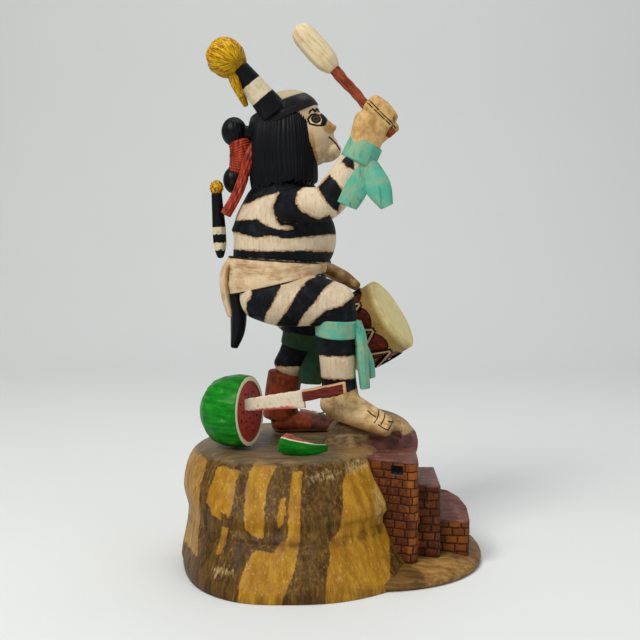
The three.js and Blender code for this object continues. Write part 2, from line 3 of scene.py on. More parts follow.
import bpy
import numpy as np
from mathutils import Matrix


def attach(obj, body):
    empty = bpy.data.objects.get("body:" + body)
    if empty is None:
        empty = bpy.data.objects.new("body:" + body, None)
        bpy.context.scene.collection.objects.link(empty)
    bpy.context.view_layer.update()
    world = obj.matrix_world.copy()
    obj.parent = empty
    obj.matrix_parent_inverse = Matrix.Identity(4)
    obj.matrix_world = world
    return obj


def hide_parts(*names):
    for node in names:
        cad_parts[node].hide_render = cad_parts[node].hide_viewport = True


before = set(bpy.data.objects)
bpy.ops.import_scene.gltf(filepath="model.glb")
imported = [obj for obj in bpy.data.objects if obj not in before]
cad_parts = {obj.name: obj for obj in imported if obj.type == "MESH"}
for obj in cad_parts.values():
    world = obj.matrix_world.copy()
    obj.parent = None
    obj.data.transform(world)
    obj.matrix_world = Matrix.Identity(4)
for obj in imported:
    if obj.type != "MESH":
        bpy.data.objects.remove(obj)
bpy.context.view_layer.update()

bl_info = {
    "name": "Kachina Doll",
    "version": (1, 0, 0),
    "blender": (4, 5, 0),
    "location": "View3D > Sidebar > Kachina",
    "description": "Builds the carved and painted pieces of a kachina doll on its frame",
    "category": "Object",
}

MM = 0.001
MESA_TOP = 70.0
FIGURE = ("painted_wood", "clown_figure")  # paint and solid of everything carved as one with the figure


# ---------------------------------------------------------------- shapes


def unit(rows):
    """Each row divided by its length."""
    return rows / np.linalg.norm(rows, axis=-1, keepdims=True)


def squared(value, power):
    """A cosine or sine pushed towards a square: its sign times its size to the power 2 / power."""
    return np.sign(value) * np.abs(value) ** (2 / power)


def eased(value, low, high):
    """A smooth step: 0 below low, 1 above high, 3t^2 - 2t^3 between them."""
    share = np.clip((value - low) / (high - low), 0, 1)
    return share * share * (3 - 2 * share)


def smooth_rows(rows, places):
    """Rows of numbers read between their own places on a Catmull-Rom curve."""
    rows = np.asarray(rows, float)
    last = len(rows) - 1
    start = np.minimum(np.floor(places).astype(int), last - 1)
    t = (places - start)[:, None]
    before, a = rows[np.maximum(start - 1, 0)], rows[start]
    b, after = rows[start + 1], rows[np.minimum(start + 2, last)]
    slope_a, slope_b, rise = (b - before) / 2, (after - a) / 2, b - a
    return a + slope_a * t + (3 * rise - 2 * slope_a - slope_b) * t**2 + (slope_a + slope_b - 2 * rise) * t**3


def raised(stations):
    """Stations of the figure, measured from the mesa's top, moved to the frame's height."""
    rows = np.array(stations, float)
    rows[..., 2] += MESA_TOP
    return rows


class Form:
    """A closed skin: points in millimetres, faces of four and three corners, and values at each point.

    Its faces are turned outwards: the sum of the signed corner volumes is made positive."""

    def __init__(self, points, quads, tris=None, marks=None):
        tris = np.zeros((0, 3), int) if tris is None else tris
        corner = points[np.concatenate([tris, quads[:, :3], quads[:, [0, 2, 3]]])]
        volume = np.einsum("ij,ij->i", corner[:, 0], np.cross(corner[:, 1], corner[:, 2])).sum()
        self.points = points
        self.quads = quads if volume > 0 else quads[:, ::-1]
        self.tris = tris if volume > 0 else tris[:, ::-1]
        self.marks = marks or {}


def merged(forms):
    """Several forms as one, each one's corners counted on from the last."""
    start = np.cumsum([0] + [len(form.points) for form in forms])
    return Form(
        np.concatenate([form.points for form in forms]),
        np.concatenate([form.quads + n for form, n in zip(forms, start)]),
        np.concatenate([form.tris + n for form, n in zip(forms, start)]),
        {
        name: np.concatenate([form.marks[name] for form in forms])
        for name in forms[0].marks if all(name in form.marks for form in forms)
    },
    )


def skin(rings, first, last, marks=None):
    """The skin over rings of points, closed by a fan to one point at each end."""
    rows, sides = rings.shape[:2]
    index = np.arange(rows * sides).reshape(rows, sides)
    beside = np.roll(index, -1, axis=1)
    quads = np.stack([index[:-1], beside[:-1], beside[1:], index[1:]], -1).reshape(-1, 4)
    pole = np.full(sides, rows * sides)
    fans = [np.stack([pole, beside[0], index[0]], -1), np.stack([pole + 1, index[-1], beside[-1]], -1)]
    values = {}
    for name, grid in (marks or {}).items():
        grid = np.broadcast_to(grid, (rows, sides))
        values[name] = np.concatenate([grid.reshape(-1), [grid[0].mean(), grid[-1].mean()]])
    points = np.concatenate([rings.reshape(-1, 3), np.stack([first, last])])
    return Form(points, quads, np.concatenate(fans), values)


def hoop(rings, marks=None):
    """The skin over rings whose last ring joins the first, as on a band of cloth."""
    rows, sides = rings.shape[:2]
    index = np.arange(rows * sides).reshape(rows, sides)
    beside = np.roll(index, -1, axis=1)
    quads = np.stack([index, beside, np.roll(beside, -1, axis=0), np.roll(index, -1, axis=0)], -1).reshape(-1, 4)
    values = {n: np.broadcast_to(grid, (rows, sides)).reshape(-1) for n, grid in (marks or {}).items()}
    return Form(rings.reshape(-1, 3), quads, None, values)


def limb(stations, sides=40, per_span=10, dome=0.6, power=2.0, caps=7, relief=None):
    """A limb: rings across a smooth path, with a dome on each end.

    A station is the ring's centre, its radius towards Y and its radius in the path's plane. A point is
    the centre - side * c * radiusY + up * s * radius, where c and s are the turn's cosine and sine,
    squared by the power. On a dome the radius falls with the cosine of an angle and the centre moves
    out with its sine. The relief is a height over turn and length, added along the radius."""
    rows = np.asarray(stations, float)
    spans = len(rows) - 1
    places = np.linspace(0, spans, spans * per_span + 1)
    ring = smooth_rows(rows, places)
    ahead = smooth_rows(rows, np.minimum(places + 0.02, spans))[:, :3]
    behind = smooth_rows(rows, np.maximum(places - 0.02, 0))[:, :3]
    tangent = unit(ahead - behind)
    length = np.concatenate([[0], np.cumsum(np.linalg.norm(np.diff(ring[:, :3], axis=0), axis=1))])
    angle = np.linspace(np.pi / 2, 0, caps + 1)[1:-1]
    reach_a = dome * ring[0, 3:].min()
    reach_b = dome * ring[-1, 3:].min()
    near, far = np.sin(angle) * reach_a, np.sin(angle[::-1]) * reach_b
    steps = len(angle)
    pick = np.concatenate([np.zeros(steps, int), np.arange(len(ring)), np.full(steps, len(ring) - 1)])
    move = np.concatenate([-near, np.zeros(len(ring)), far])
    share = np.concatenate([np.cos(angle), np.ones(len(ring)), np.cos(angle[::-1])])
    centre = ring[pick, :3] + tangent[pick] * move[:, None]
    side = np.array([0.0, 1.0, 0.0]) - tangent[pick] * tangent[pick, 1:2]
    side = unit(side)
    up = np.cross(tangent[pick], side)
    turn = np.linspace(0, 2 * np.pi, sides, endpoint=False)
    across = -squared(np.cos(turn), power)[None, :, None] * side[:, None] * ring[pick, 3][:, None, None]
    over = squared(np.sin(turn), power)[None, :, None] * up[:, None] * ring[pick, 4][:, None, None]
    spoke = (across + over) * share[:, None, None]
    way = (length[pick] + move)[:, None]
    if relief is not None:
        height = relief(turn[None, :], way) * np.minimum(share[:, None] * 1.5, 1)
        spoke = spoke + unit(spoke + 1e-9) * height[:, :, None]
    ends = ring[0, :3] - tangent[0] * reach_a, ring[-1, :3] + tangent[-1] * reach_b
    marks = {"way": way, "turn": np.broadcast_to(turn[None, :], (len(pick), sides))}
    return skin(centre[:, None] + spoke, *ends, marks)


def ball(centre, radii, tilt=0.0, sides=48, relief=None):
    """An ellipsoid: sine and cosine of latitude times the three radii, tilted nose up about Y."""
    rows = sides // 2
    latitude = np.linspace(-np.pi / 2, np.pi / 2, rows + 1)[1:-1, None]
    turn = np.linspace(0, 2 * np.pi, sides, endpoint=False)[None, :]
    flat, high = np.cos(latitude), np.sin(latitude)
    shape = np.stack([flat * np.cos(turn), flat * np.sin(turn), high + 0 * turn], -1)
    size = np.asarray(radii, float)
    if relief is not None:
        shape = shape * (1 + relief(turn, latitude)[..., None] / size.mean())
    lean = np.radians(tilt)
    turned_to = np.array([[np.cos(lean), 0, np.sin(lean)], [0, 1, 0], [-np.sin(lean), 0, np.cos(lean)]])
    points = (shape * size) @ turned_to + centre
    poles = [np.array([0, 0, end]) * size @ turned_to + centre for end in (-1, 1)]
    return skin(points, *poles, {"way": latitude + 0 * turn, "turn": turn + 0 * latitude})


def frame_of(direction):
    """A direction with two more at right angles to it and to each other."""
    axis = unit(np.asarray(direction, float))
    helper = np.array([0.0, 1.0, 0.0]) if abs(axis[1]) < 0.9 else np.array([0.0, 0.0, 1.0])
    first = unit(np.cross(axis, helper))
    return axis, first, np.cross(axis, first)


def dense(profile, step=0.6, rounding=2):
    """A profile read every step of its own length, its corners rounded by running means."""
    rows = np.asarray(profile, float)
    length = np.concatenate([[0], np.cumsum(np.linalg.norm(np.diff(rows, axis=0), axis=1))])
    places = np.linspace(0, length[-1], max(int(length[-1] / step), 4) + 1)
    read = np.stack([np.interp(places, length, rows[:, i]) for i in range(rows.shape[1])], -1)
    for _ in range(rounding):
        read[1:-1] = (read[:-2] + 2 * read[1:-1] + read[2:]) / 4
    return read


def turned(profile, start, direction, sides=96, relief=None):
    """A turned piece: each row of the profile is a radius and a distance along the axis. The relief is
    a height over turn and distance, added to the radius."""
    axis, first, second = frame_of(direction)
    rows = np.asarray(profile, float)
    turn = np.linspace(0, 2 * np.pi, sides, endpoint=False)[None, :]
    body = rows[1:-1]
    radius = body[:, :1] + 0 * turn
    if relief is not None:
        radius = np.maximum(radius + relief(turn, body[:, 1:]) * eased(radius, 0, 2), 0.01)
    spoke = np.cos(turn)[..., None] * first + np.sin(turn)[..., None] * second
    points = np.asarray(start) + axis * body[:, 1][:, None, None] + spoke * radius[..., None]
    poles = [np.asarray(start) + axis * rows[i, 1] for i in (0, -1)]
    marks = {"way": body[:, 1:], "turn": turn + 0 * body[:, 1:], "spread": body[:, :1]}
    return skin(points, *poles, marks)


def mesh_of(name, form):
    """The form as a mesh in metres, with its values as attributes of the points."""
    mesh = bpy.data.meshes.new(name)
    corners = np.concatenate([form.quads.reshape(-1), form.tris.reshape(-1)])
    starts = np.concatenate([
        np.arange(len(form.quads)) * 4,
        len(form.quads) * 4 + np.arange(len(form.tris)) * 3,
    ])
    mesh.vertices.add(len(form.points))
    mesh.vertices.foreach_set("co", (form.points * MM).astype(np.float32).reshape(-1))
    mesh.loops.add(len(corners))
    mesh.loops.foreach_set("vertex_index", corners.astype(np.int32))
    mesh.polygons.add(len(starts))
    mesh.polygons.foreach_set("loop_start", starts.astype(np.int32))
    mesh.update(calc_edges=True)
    for mark, values in form.marks.items():
        layer = mesh.attributes.new(mark, "FLOAT", "POINT")
        layer.data.foreach_set("value", np.asarray(values, np.float32))
    mesh.shade_smooth()
    return mesh


def remeshed(forms, size, passes=3):
    """One skin over forms that run into each other.

    Their union is read on a grid of small cubes, and the steps that leaves are evened by moving each
    point by turns towards the mean of its neighbours and a little more than that back."""
    mesh = mesh_of("union", merged([Form(form.points, form.quads, form.tris) for form in forms]))
    holder = bpy.data.objects.new("union", mesh)
    bpy.context.scene.collection.objects.link(holder)
    union = holder.modifiers.new("union", "REMESH")
    union.mode = "VOXEL"
    union.voxel_size = size * MM
    bpy.context.view_layer.update()
    evaluated = holder.evaluated_get(bpy.context.evaluated_depsgraph_get())
    ready = evaluated.to_mesh()
    points = np.empty(len(ready.vertices) * 3, np.float32)
    ready.vertices.foreach_get("co", points)
    corners = np.empty(len(ready.loops), np.int32)
    ready.loops.foreach_get("vertex_index", corners)
    evaluated.to_mesh_clear()
    bpy.data.objects.remove(holder)
    bpy.data.meshes.remove(mesh)
    points = points.reshape(-1, 3).astype(float) / MM
    quads = corners.reshape(-1, 4)
    pairs = np.concatenate([quads[:, [i, (i + 1) % 4]] for i in range(4)])
    count = np.bincount(pairs[:, 0], minlength=len(points))[:, None]
    for share in (0.6, -0.62) * passes:
        sums = [np.bincount(pairs[:, 0], points[pairs[:, 1], axis], len(points)) for axis in range(3)]
        points = points + share * (np.stack(sums, -1) / count - points)
    return Form(points, quads)


def outline_depth(x, z, outline):
    """How far points are inside a flat outline, in millimetres: the distance to the nearest edge,
    negative outside, where inside is an odd number of edges crossed by a line to the right."""
    corners = np.asarray(outline, float)
    nearest = np.full(x.shape, np.inf)
    inside = np.zeros(x.shape, bool)
    for (ax, az), (bx, bz) in zip(corners, np.roll(corners, -1, axis=0)):
        dx, dz = bx - ax, bz - az
        along = np.clip(((x - ax) * dx + (z - az) * dz) / (dx * dx + dz * dz), 0, 1)
        nearest = np.minimum(nearest, np.hypot(x - ax - along * dx, z - az - along * dz))
        inside ^= ((az > z) != (bz > z)) & (x < dx * (z - az) / (dz + 1e-12) + ax)
    return np.where(inside, nearest, -nearest)


def path_place(points, stations):
    """Where points lie on a limb: how far they are outside it, and how far along it, in millimetres."""
    ring = smooth_rows(stations, np.linspace(0, len(stations) - 1, 60))
    length = np.concatenate([[0], np.cumsum(np.linalg.norm(np.diff(ring[:, :3], axis=0), axis=1))])
    apart = np.linalg.norm(points[:, None].astype(np.float32) - ring[None, :, :3].astype(np.float32), axis=2)
    depth = apart - ring[None, :, 3:].mean(axis=2)
    best = depth.argmin(axis=1)
    return depth[np.arange(len(points)), best], length[best]


# ---------------------------------------------------------------- finishes


def tone(red, green, blue):
    """A paint read as 0 to 255 on a screen, as linear light: the screen's gamma curve undone."""
    level = np.array([red, green, blue]) / 255
    linear = np.where(level <= 0.04045, level / 12.92, ((level + 0.055) / 1.055) ** 2.4)
    return tuple(float(value) for value in linear)


class Field:
    """A value that changes over a surface: a node's socket, with sums that add Math nodes."""

    def __init__(self, finish, socket):
        self.finish = finish
        self.socket = socket

    def math(self, operation, *values):
        return self.finish.node("ShaderNodeMath", {"operation": operation}, dict(enumerate(values)))

    def __add__(self, other):
        return self.math("ADD", self, other)

    __radd__ = __add__

    def __mul__(self, other):
        return self.math("MULTIPLY", self, other)

    __rmul__ = __mul__

    def __sub__(self, other):
        return self.math("SUBTRACT", self, other)

    def __rsub__(self, other):
        return self.math("SUBTRACT", other, self)

    def __truediv__(self, other):
        return self.math("DIVIDE", self, other)

    def __neg__(self):
        return self.math("MULTIPLY", self, -1)

    def __abs__(self):
        return self.math("ABSOLUTE", self)

    def sine(self):
        return self.math("SINE", self)

    def cosine(self):
        return self.math("COSINE", self)

    def floor(self):
        return self.math("FLOOR", self)

    def modulo(self, other):
        return self.math("FLOORED_MODULO", self, other)

    def least(self, other):
        return self.math("MINIMUM", self, other)

    def most(self, other):
        return self.math("MAXIMUM", self, other)

    def root(self):
        return self.math("SQRT", self)

    def between(self, low, high):
        """0 below low and 1 above high, smooth between them; the other way round if low is higher."""
        values = {"Value": self, "From Min": low, "From Max": high}
        return self.finish.node("ShaderNodeMapRange", {"interpolation_type": "SMOOTHSTEP"}, values)

    def out(self, name):
        """Another socket of the same node."""
        return Field(self.finish, self.socket.node.outputs[name])


class Finish:
    """A material made of nodes, ending in one Principled shader."""

    def __init__(self, name):
        self.material = bpy.data.materials.new(name)
        self.material.use_nodes = True
        self.tree = self.material.node_tree
        self.tree.nodes.clear()
        self.shader = self.tree.nodes.new("ShaderNodeBsdfPrincipled")
        surface = self.tree.nodes.new("ShaderNodeOutputMaterial")
        self.tree.links.new(self.shader.outputs[0], surface.inputs[0])
        self.spot = None

    def node(self, kind, settings=None, values=None, output=0):
        """Adds a node: first its settings, then the values or links of its sockets."""
        node = self.tree.nodes.new(kind)
        for name, value in (settings or {}).items():
            setattr(node, name, value)
        for key, value in (values or {}).items():
            self.feed(node.inputs[key], value)
        return Field(self, node.outputs[output])

    def feed(self, socket, value):
        """Links a field to a socket, or sets a plain number or colour on it."""
        if isinstance(value, Field):
            self.tree.links.new(value.socket, socket)
        elif socket.type == "RGBA" and len(value) == 3:
            socket.default_value = (*value, 1)
        else:
            socket.default_value = value

    def place(self):
        """Object coordinates in millimetres."""
        if self.spot is None:
            read = self.node("ShaderNodeTexCoord").out("Object")
            scale = {0: read, "Scale": 1 / MM}
            self.spot = self.node("ShaderNodeVectorMath", {"operation": "SCALE"}, scale)
        return self.spot

    def axes(self, vector=None):
        """The three numbers of a vector, by default of the place."""
        split = self.node("ShaderNodeSeparateXYZ", None, {0: vector or self.place()})
        return split, split.out("Y"), split.out("Z")

    def joint(self, x, y, z):
        return self.node("ShaderNodeCombineXYZ", None, {0: x, 1: y, 2: z})

    def mark(self, name):
        """A value kept at the mesh's points."""
        return self.node("ShaderNodeAttribute", {"attribute_name": name}).out("Fac")

    def stretched(self, stretch, vector=None):
        values = {0: vector or self.place(), 1: stretch}
        return self.node("ShaderNodeVectorMath", {"operation": "MULTIPLY"}, values)

    def noise(self, size, detail=2.0, rough=0.5, stretch=(1, 1, 1), twist=0.0, vector=None):
        """Cloudy noise from 0 to 1 whose lumps are about size millimetres, longer where stretched."""
        scale = tuple(1 / (size * share) for share in stretch)
        values = {"Vector": self.stretched(scale, vector), "Scale": 1.0, "Detail": detail, "Roughness": rough}
        values["Distortion"] = twist
        return self.node("ShaderNodeTexNoise", None, values)

    def cells(self, size, stretch=(1, 1, 1), feature="F1", vector=None):
        """Cells of about size millimetres: the distance from a point to its cell's centre or edge."""
        scale = tuple(1 / (size * share) for share in stretch)
        values = {"Vector": self.stretched(scale, vector), "Scale": 1.0}
        return self.node("ShaderNodeTexVoronoi", {"feature": feature}, values)

    def mix(self, share, a, b, blend="MIX"):
        """Colour a turned into colour b by a share from 0 to 1."""
        settings = {"data_type": "RGBA", "blend_type": blend, "clamp_factor": True}
        return self.node("ShaderNodeMix", settings, {0: share, 6: a, 7: b}, 2)

    def shaded(self, colour, level):
        """A colour made darker or lighter by a level around 1."""
        return self.node("ShaderNodeVectorMath", {"operation": "SCALE"}, {0: colour, "Scale": level})

    def line(self, across, up, points):
        """The distance to a drawn line through points, from two coordinates in millimetres."""
        nearest = None
        for (ax, az), (bx, bz) in zip(points[:-1], points[1:]):
            dx, dz = bx - ax, bz - az
            far = dx * dx + dz * dz
            x, z = across - ax, up - az
            along = ((x * (dx / far)) + (z * (dz / far))).most(0).least(1)
            gap_x, gap_z = x - along * dx, z - along * dz
            gap = (gap_x * gap_x + gap_z * gap_z).root()
            nearest = gap if nearest is None else nearest.least(gap)
        return nearest

    def lines(self, across, up, drawings):
        nearest = None
        for points in drawings:
            gap = self.line(across, up, points)
            nearest = gap if nearest is None else nearest.least(gap)
        return nearest

    def finish(self, colour, rough, height=None, coat=0.0, coat_rough=0.3, level=0.12):
        """Sets the shader: colour, roughness, a relief height in millimetres and a constant coat."""
        self.feed(self.shader.inputs["Base Color"], colour)
        self.feed(self.shader.inputs["Roughness"], rough)
        self.shader.inputs["Coat Weight"].default_value = coat
        self.shader.inputs["Coat Roughness"].default_value = coat_rough
        self.shader.inputs["Specular IOR Level"].default_value = level
        if height is not None:
            values = {"Height": height, "Distance": MM, "Strength": 1.0}
            self.feed(self.shader.inputs["Normal"], self.node("ShaderNodeBump", None, values))
        return self.material


WAX = 0.15  # share of a full clear coat that the thin wax on the wood gives


def carved(finish, colour, rough=0.55, mottle=0.16, specks=0.3, facets=0.22, grain=(1, 1, 6), coat=0.0, extra=None):
    """Paint on knife-cut wood: soft patches, brush grain, fine dark specks, flat cuts and a dull sheen."""
    patch = finish.noise(11, 3, 0.6)
    fibre = finish.noise(1.5, 4, 0.65, grain)
    speck = finish.noise(0.55, 2, 0.7)
    level = 1 + (patch - 0.5) * (2 * mottle) + (fibre - 0.5) * mottle
    level = level - speck.between(0.6, 0.74) * specks * patch.between(0.3, 0.65) - fibre.between(0.56, 0.74) * mottle
    cut = finish.cells(7.5, grain, "SMOOTH_F1")
    height = cut * facets + fibre * 0.12 + speck * 0.05
    if extra is not None:
        height = height + extra
    dull = (fibre - 0.5) * 0.25 + rough
    return finish.finish(finish.shaded(colour, level), dull, height, coat * WAX)


# ---------------------------------------------------------------- settings


def colour_of(name, description, *levels):
    return bpy.props.FloatVectorProperty(
        name=name, description=description, subtype="COLOR", size=3, min=0, max=1, default=tone(*levels)
    )


def length_of(name, description, millimetres):
    return bpy.props.FloatProperty(
        name=name, description=description, default=millimetres * MM, min=0, unit="LENGTH", subtype="DISTANCE"
    )


class KachinaColours(bpy.types.PropertyGroup):
    """Paints of the figure, what it carries and the mesa."""

    cream: colour_of("Cream", "Pale stripes of the body and horns", 205, 187, 158)
    black: colour_of("Black", "Dark stripes, hair and horn tips", 8, 9, 13)
    ochre: colour_of("Ochre", "Stain along the edges of the stripes", 150, 92, 22)
    tan: colour_of("Tan", "Hands and the bare foot", 200, 164, 106)
    turquoise: colour_of("Turquoise", "Ribbons on the right wrist and knee", 84, 166, 142)
    moss: colour_of("Moss", "Lighter patches of the ribbons", 130, 162, 130)
    # Painted shade: the turquoise of the ribbons on the far side, as it looks in shade.
    shaded_turquoise: colour_of("Deep green", "Ribbons on the left side", 38, 74, 54)
    leather: colour_of("Leather", "Headband", 27, 25, 26)
    husk: colour_of("Husk", "Tassels on the horns", 214, 166, 18)
    yarn: colour_of("Yarn", "Cords round the hair", 158, 56, 30)
    boot: colour_of("Boot", "Boot on the left foot", 128, 56, 30)
    hide: colour_of("Hide", "Skin of the drum", 214, 199, 142)
    drum_wood: colour_of("Drum wood", "Shell of the drum", 78, 24, 18)
    shaft: colour_of("Shaft", "Shaft of the beater", 150, 72, 42)
    rind: colour_of("Rind", "Rind of the melon", 10, 124, 20)
    flesh: colour_of("Flesh", "Flesh of the melon", 170, 58, 44)
    handle: colour_of("Handle", "Handle of the knife", 108, 40, 30)
    rock: colour_of("Rock", "Bare wood of the mesa", 132, 108, 76)
    rock_gold: colour_of("Rock gold", "Golden stripes of the mesa", 172, 128, 34)
    rock_dark: colour_of("Rock dark", "Dark stripes of the mesa", 74, 48, 16)
    roof: colour_of("Roof", "Flat roofs of the rooms", 112, 70, 60)
    floor: colour_of("Floor", "Floor and backdrop", 214, 216, 214)


class KachinaSizes(bpy.types.PropertyGroup):
    """Sizes of the carved detail."""

    body_grid: length_of("Body grid", "Spacing of the points on the body", 0.85)
    head_grid: length_of("Head grid", "Spacing of the points on the face", 0.5)
    rock_grid: length_of("Rock grid", "Spacing of the points on the ground", 1.2)
    strand_width: length_of("Strand width", "Width of one strand of the hair", 1.7)
    groove: length_of("Groove", "Depth of the grooves in the hair", 0.55)
    cord_width: length_of("Cord width", "Width of one turn of the yarn", 1.5)
    hide_thickness: length_of("Hide thickness", "Thickness of the drum's skin", 0.7)
    scallops: bpy.props.IntProperty(
        name="Scallops", description="Scallops round each skin of the drum", default=8, min=3
    )
    brick_height: length_of("Brick height", "Height of one course of bricks", 4.7)
    brick_length: length_of("Brick length", "Length of one brick", 7.2)
    seeds: bpy.props.IntProperty(name="Seeds", description="Seeds in the cut face of the melon", default=16, min=0)


def put(name, form, material, slot, *nodes):
    """Makes a piece of a form, riding on the root, with its finish and the nodes it stands for."""
    piece = bpy.data.objects.new(name, mesh_of(name, form))
    bpy.context.scene.collection.objects.link(piece)
    piece.data.materials.append(material)
    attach(piece, "root")
    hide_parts(*nodes)
    return piece


# ---------------------------------------------------------------- body

LIMBS = {
    "trunk": [
        [-33, 0, 86, 22, 20], [-32, 0, 96, 25.5, 26], [-31, 0, 108, 25, 27], [-27.6, 0, 121, 26.5, 31.5],
        [-27, 0, 134, 26, 28.4], [-26.5, 0, 146, 24, 22.5], [-25.5, 0, 157, 16, 16], [-22, 0, 168, 11, 12],
    ],
    "near_arm": [
        [-25, -20, 138.5, 11, 10], [-17, -29, 140.4, 12, 9.8], [-3, -37.5, 141, 10.4, 9.8],
        [5.5, -41, 151.5, 9.2, 9.6], [16.5, -42, 168, 7.8, 8],
    ],
    "palm": [[18.4, -42, 170, 8.4, 8], [20.6, -42.4, 178, 9, 9.4], [23, -42.5, 185.4, 9.8, 10]],
    "fingers": [[22.2, -44, 195.2, 9, 5.8], [28, -44, 190, 9.6, 6.6], [32.8, -44, 185.2, 9, 5.6]],
    "thumb": [[25, -35, 176, 3.6, 4], [31, -35.5, 181, 3.8, 4.2], [36, -36, 184, 3.4, 3.6]],
    "far_arm": [
        [-25, 20, 139, 11, 11], [-23, 29, 134, 11, 11], [-25, 38, 112, 9.4, 9.6], [-14, 34, 105, 7.4, 7.4],
        [-2, 26, 101.6, 5.4, 5],
    ],
    "far_hand": [[0, 25, 101, 6, 4.6], [9, 21, 96.6, 7.4, 4.4], [17, 19, 91.4, 6.4, 3]],
    "near_thigh": [
        [-40, -12, 89, 14, 16], [-27, -15.5, 85, 15, 15.6], [-11, -17, 85, 14, 15], [3.6, -17, 81.6, 12.6, 13.6],
    ],
    "near_shin": [
        [4.4, -16, 77, 12.5, 12], [4, -15, 64, 12, 11.2], [4.6, -14.5, 52, 11.5, 10.8], [5.4, -14, 38, 11, 10.3],
        [7, -13.6, 24, 10.5, 11],
    ],
    "near_foot": [
        [1.5, -13.4, 26, 9.2, 9], [11, -15, 20, 10, 10.4], [24, -17, 14.4, 10.6, 8.2], [33, -18.5, 10.2, 10.6, 6.4],
    ],
    "far_thigh": [[-33, 13, 88, 14, 15.6], [-24.6, 16, 77, 13, 12.8], [-16.4, 18, 66, 11.5, 10.4]],
    "far_shin": [[-16.4, 18, 65, 11, 10], [-20.8, 20, 50, 10.5, 10], [-25, 21.4, 41, 10, 10]],
}
SHAPES = {
    "palm": {"power": 2.4}, "fingers": {"power": 3, "dome": 0.45},
    "near_thigh": {"dome": 0.9}, "near_foot": {"dome": 0.7},
}

# Outlines of the black paint, seen from the right side of the figure, in millimetres above the mesa.
CHEST = [
    (-68, 131.5), (-52.9, 131.3), (-42.4, 132.2), (-38.7, 129.5), (-32.3, 126.7), (-25.9, 125.8), (-19.5, 127.1),
    (-22.9, 128.5), (-28.7, 128.9), (-31.1, 132.1), (-31.1, 134.9), (-32.1, 137.3), (-32.7, 139.1), (-31.3, 140.6),
    (-31.5, 142), (-30.6, 143.9), (-29.4, 145.3), (-28, 149.9), (6, 150.4), (8, 123.6), (-0.3, 123.6), (-14, 122.2),
    (-25.9, 121.3), (-33.2, 123.1), (-42, 121.7), (-55.2, 124.9), (-68, 125.4),
]
BELLY = [
    (-68, 114.6), (-56.7, 114.4), (-35.1, 113.5), (-14, 114), (-0.3, 113), (10, 112.9), (10, 106.9), (-5.8, 107.1),
    (-14, 107.5), (-27.8, 108.9), (-43.4, 109.6), (-56.7, 110.3), (-68, 110.5),
]
NAPE = [(-60, 141), (-47, 141.5), (-40, 145), (-30, 147.6), (-20, 149), (-8, 151.5), (-4, 170), (-60, 170)]
HIP = [
    (-44.1, 99.5), (-27.7, 99.5), (-28.6, 93.5), (-33.2, 83.9), (-36.9, 78.4), (-39.2, 70), (-46, 70), (-48.3, 79.3),
    (-47.9, 83.9), (-45.1, 88.5),
]
THIGH = [
    (-4.6, 102.5), (4.1, 102.5), (2.2, 97), (-4.1, 92.1), (-8.4, 85.5), (-13.4, 80.1), (-16.7, 75.7), (-20, 68),
    (-33, 68), (-28.7, 74), (-22.7, 82.8), (-18.3, 90.5), (-13.4, 96.5), (-7.9, 99.2),
]
KNEE = [
    (20, 89.6), (15.6, 88.3), (11.2, 85.5), (6.9, 82.3), (1.4, 81), (-2.4, 80.1), (-5.7, 76.8), (-11.2, 71.5),
    (-11.2, 66), (20, 66),
]
SHOULDER = [
    (-28.3, 149.5), (-30.6, 142.9), (-32.3, 139), (-31.6, 135), (-30.6, 132.1), (-27, 128.5), (-19.7, 127.8),
    (6, 126), (-0.4, 134.2), (-5.8, 132), (-9.7, 132.8), (-14.2, 135.5), (-16.4, 136), (-17.4, 137.6), (-19.2, 140.7),
    (-19.4, 144.2), (-18.3, 147.3), (-15, 150.5), (-24, 151),
]
ELBOW = [(-6.8, 149.5), (-0.2, 156), (6.4, 148.2), (5.8, 142.4), (4.2, 136), (0, 139.5), (-3.6, 144.1)]
WRIST = [(6.8, 163.5), (8.4, 166.2), (11.8, 168), (13, 159), (8.9, 160.6)]

# Lines burned into the fist and the foot, seen from the same side.
FIST_LINES = [
    [(20.6, 196.6), (25, 192), (28.9, 188), (33.2, 184.2), (34.4, 183.1), (33.4, 182.3)],
    [(19.8, 195), (24.3, 190.6), (28.3, 186.8), (32.4, 183.2)],
    [(36.4, 182.4), (34.7, 184.4), (34.4, 187)],
]
FOOT_LINES = [
    [(22.2, 21), (24.2, 19.2), (26.8, 17.6)],
    [(29, 21.5), (28.6, 19), (27.3, 16.3), (25.7, 14.5)],
    [(32.4, 21), (32.6, 18.5), (31.3, 15.8), (29.7, 13.6)],
    [(28.2, 13.4), (30.9, 11.6), (33.8, 10.2), (35.7, 12.7), (36.8, 14), (34.2, 14.9)],
    [(36.2, 16.7), (37.5, 14), (38, 10.9)],
]
SOLE = (15.0, 10.9, -np.tan(np.radians(17.4)))


def sole_height(x):
    """The slanting sole: its height at its middle plus its slope times the distance from there."""
    return MESA_TOP + SOLE[1] + (x - SOLE[0]) * SOLE[2]


def outside(points, names):
    """How far points are outside the nearest of some limbs, which one that is, and how far along it."""
    found = [path_place(points, raised(LIMBS[name])) for name in names]
    depth = np.stack([one[0] for one in found])
    best = depth.argmin(axis=0)
    row = np.arange(len(points))
    return depth[best, row], best, np.stack([one[1] for one in found])[best, row]


def banded(way, bands):
    """Distance inside the nearest of some bands along a limb, negative between them."""
    return np.max([np.minimum(way - low, high - way) for low, high in bands], axis=0)


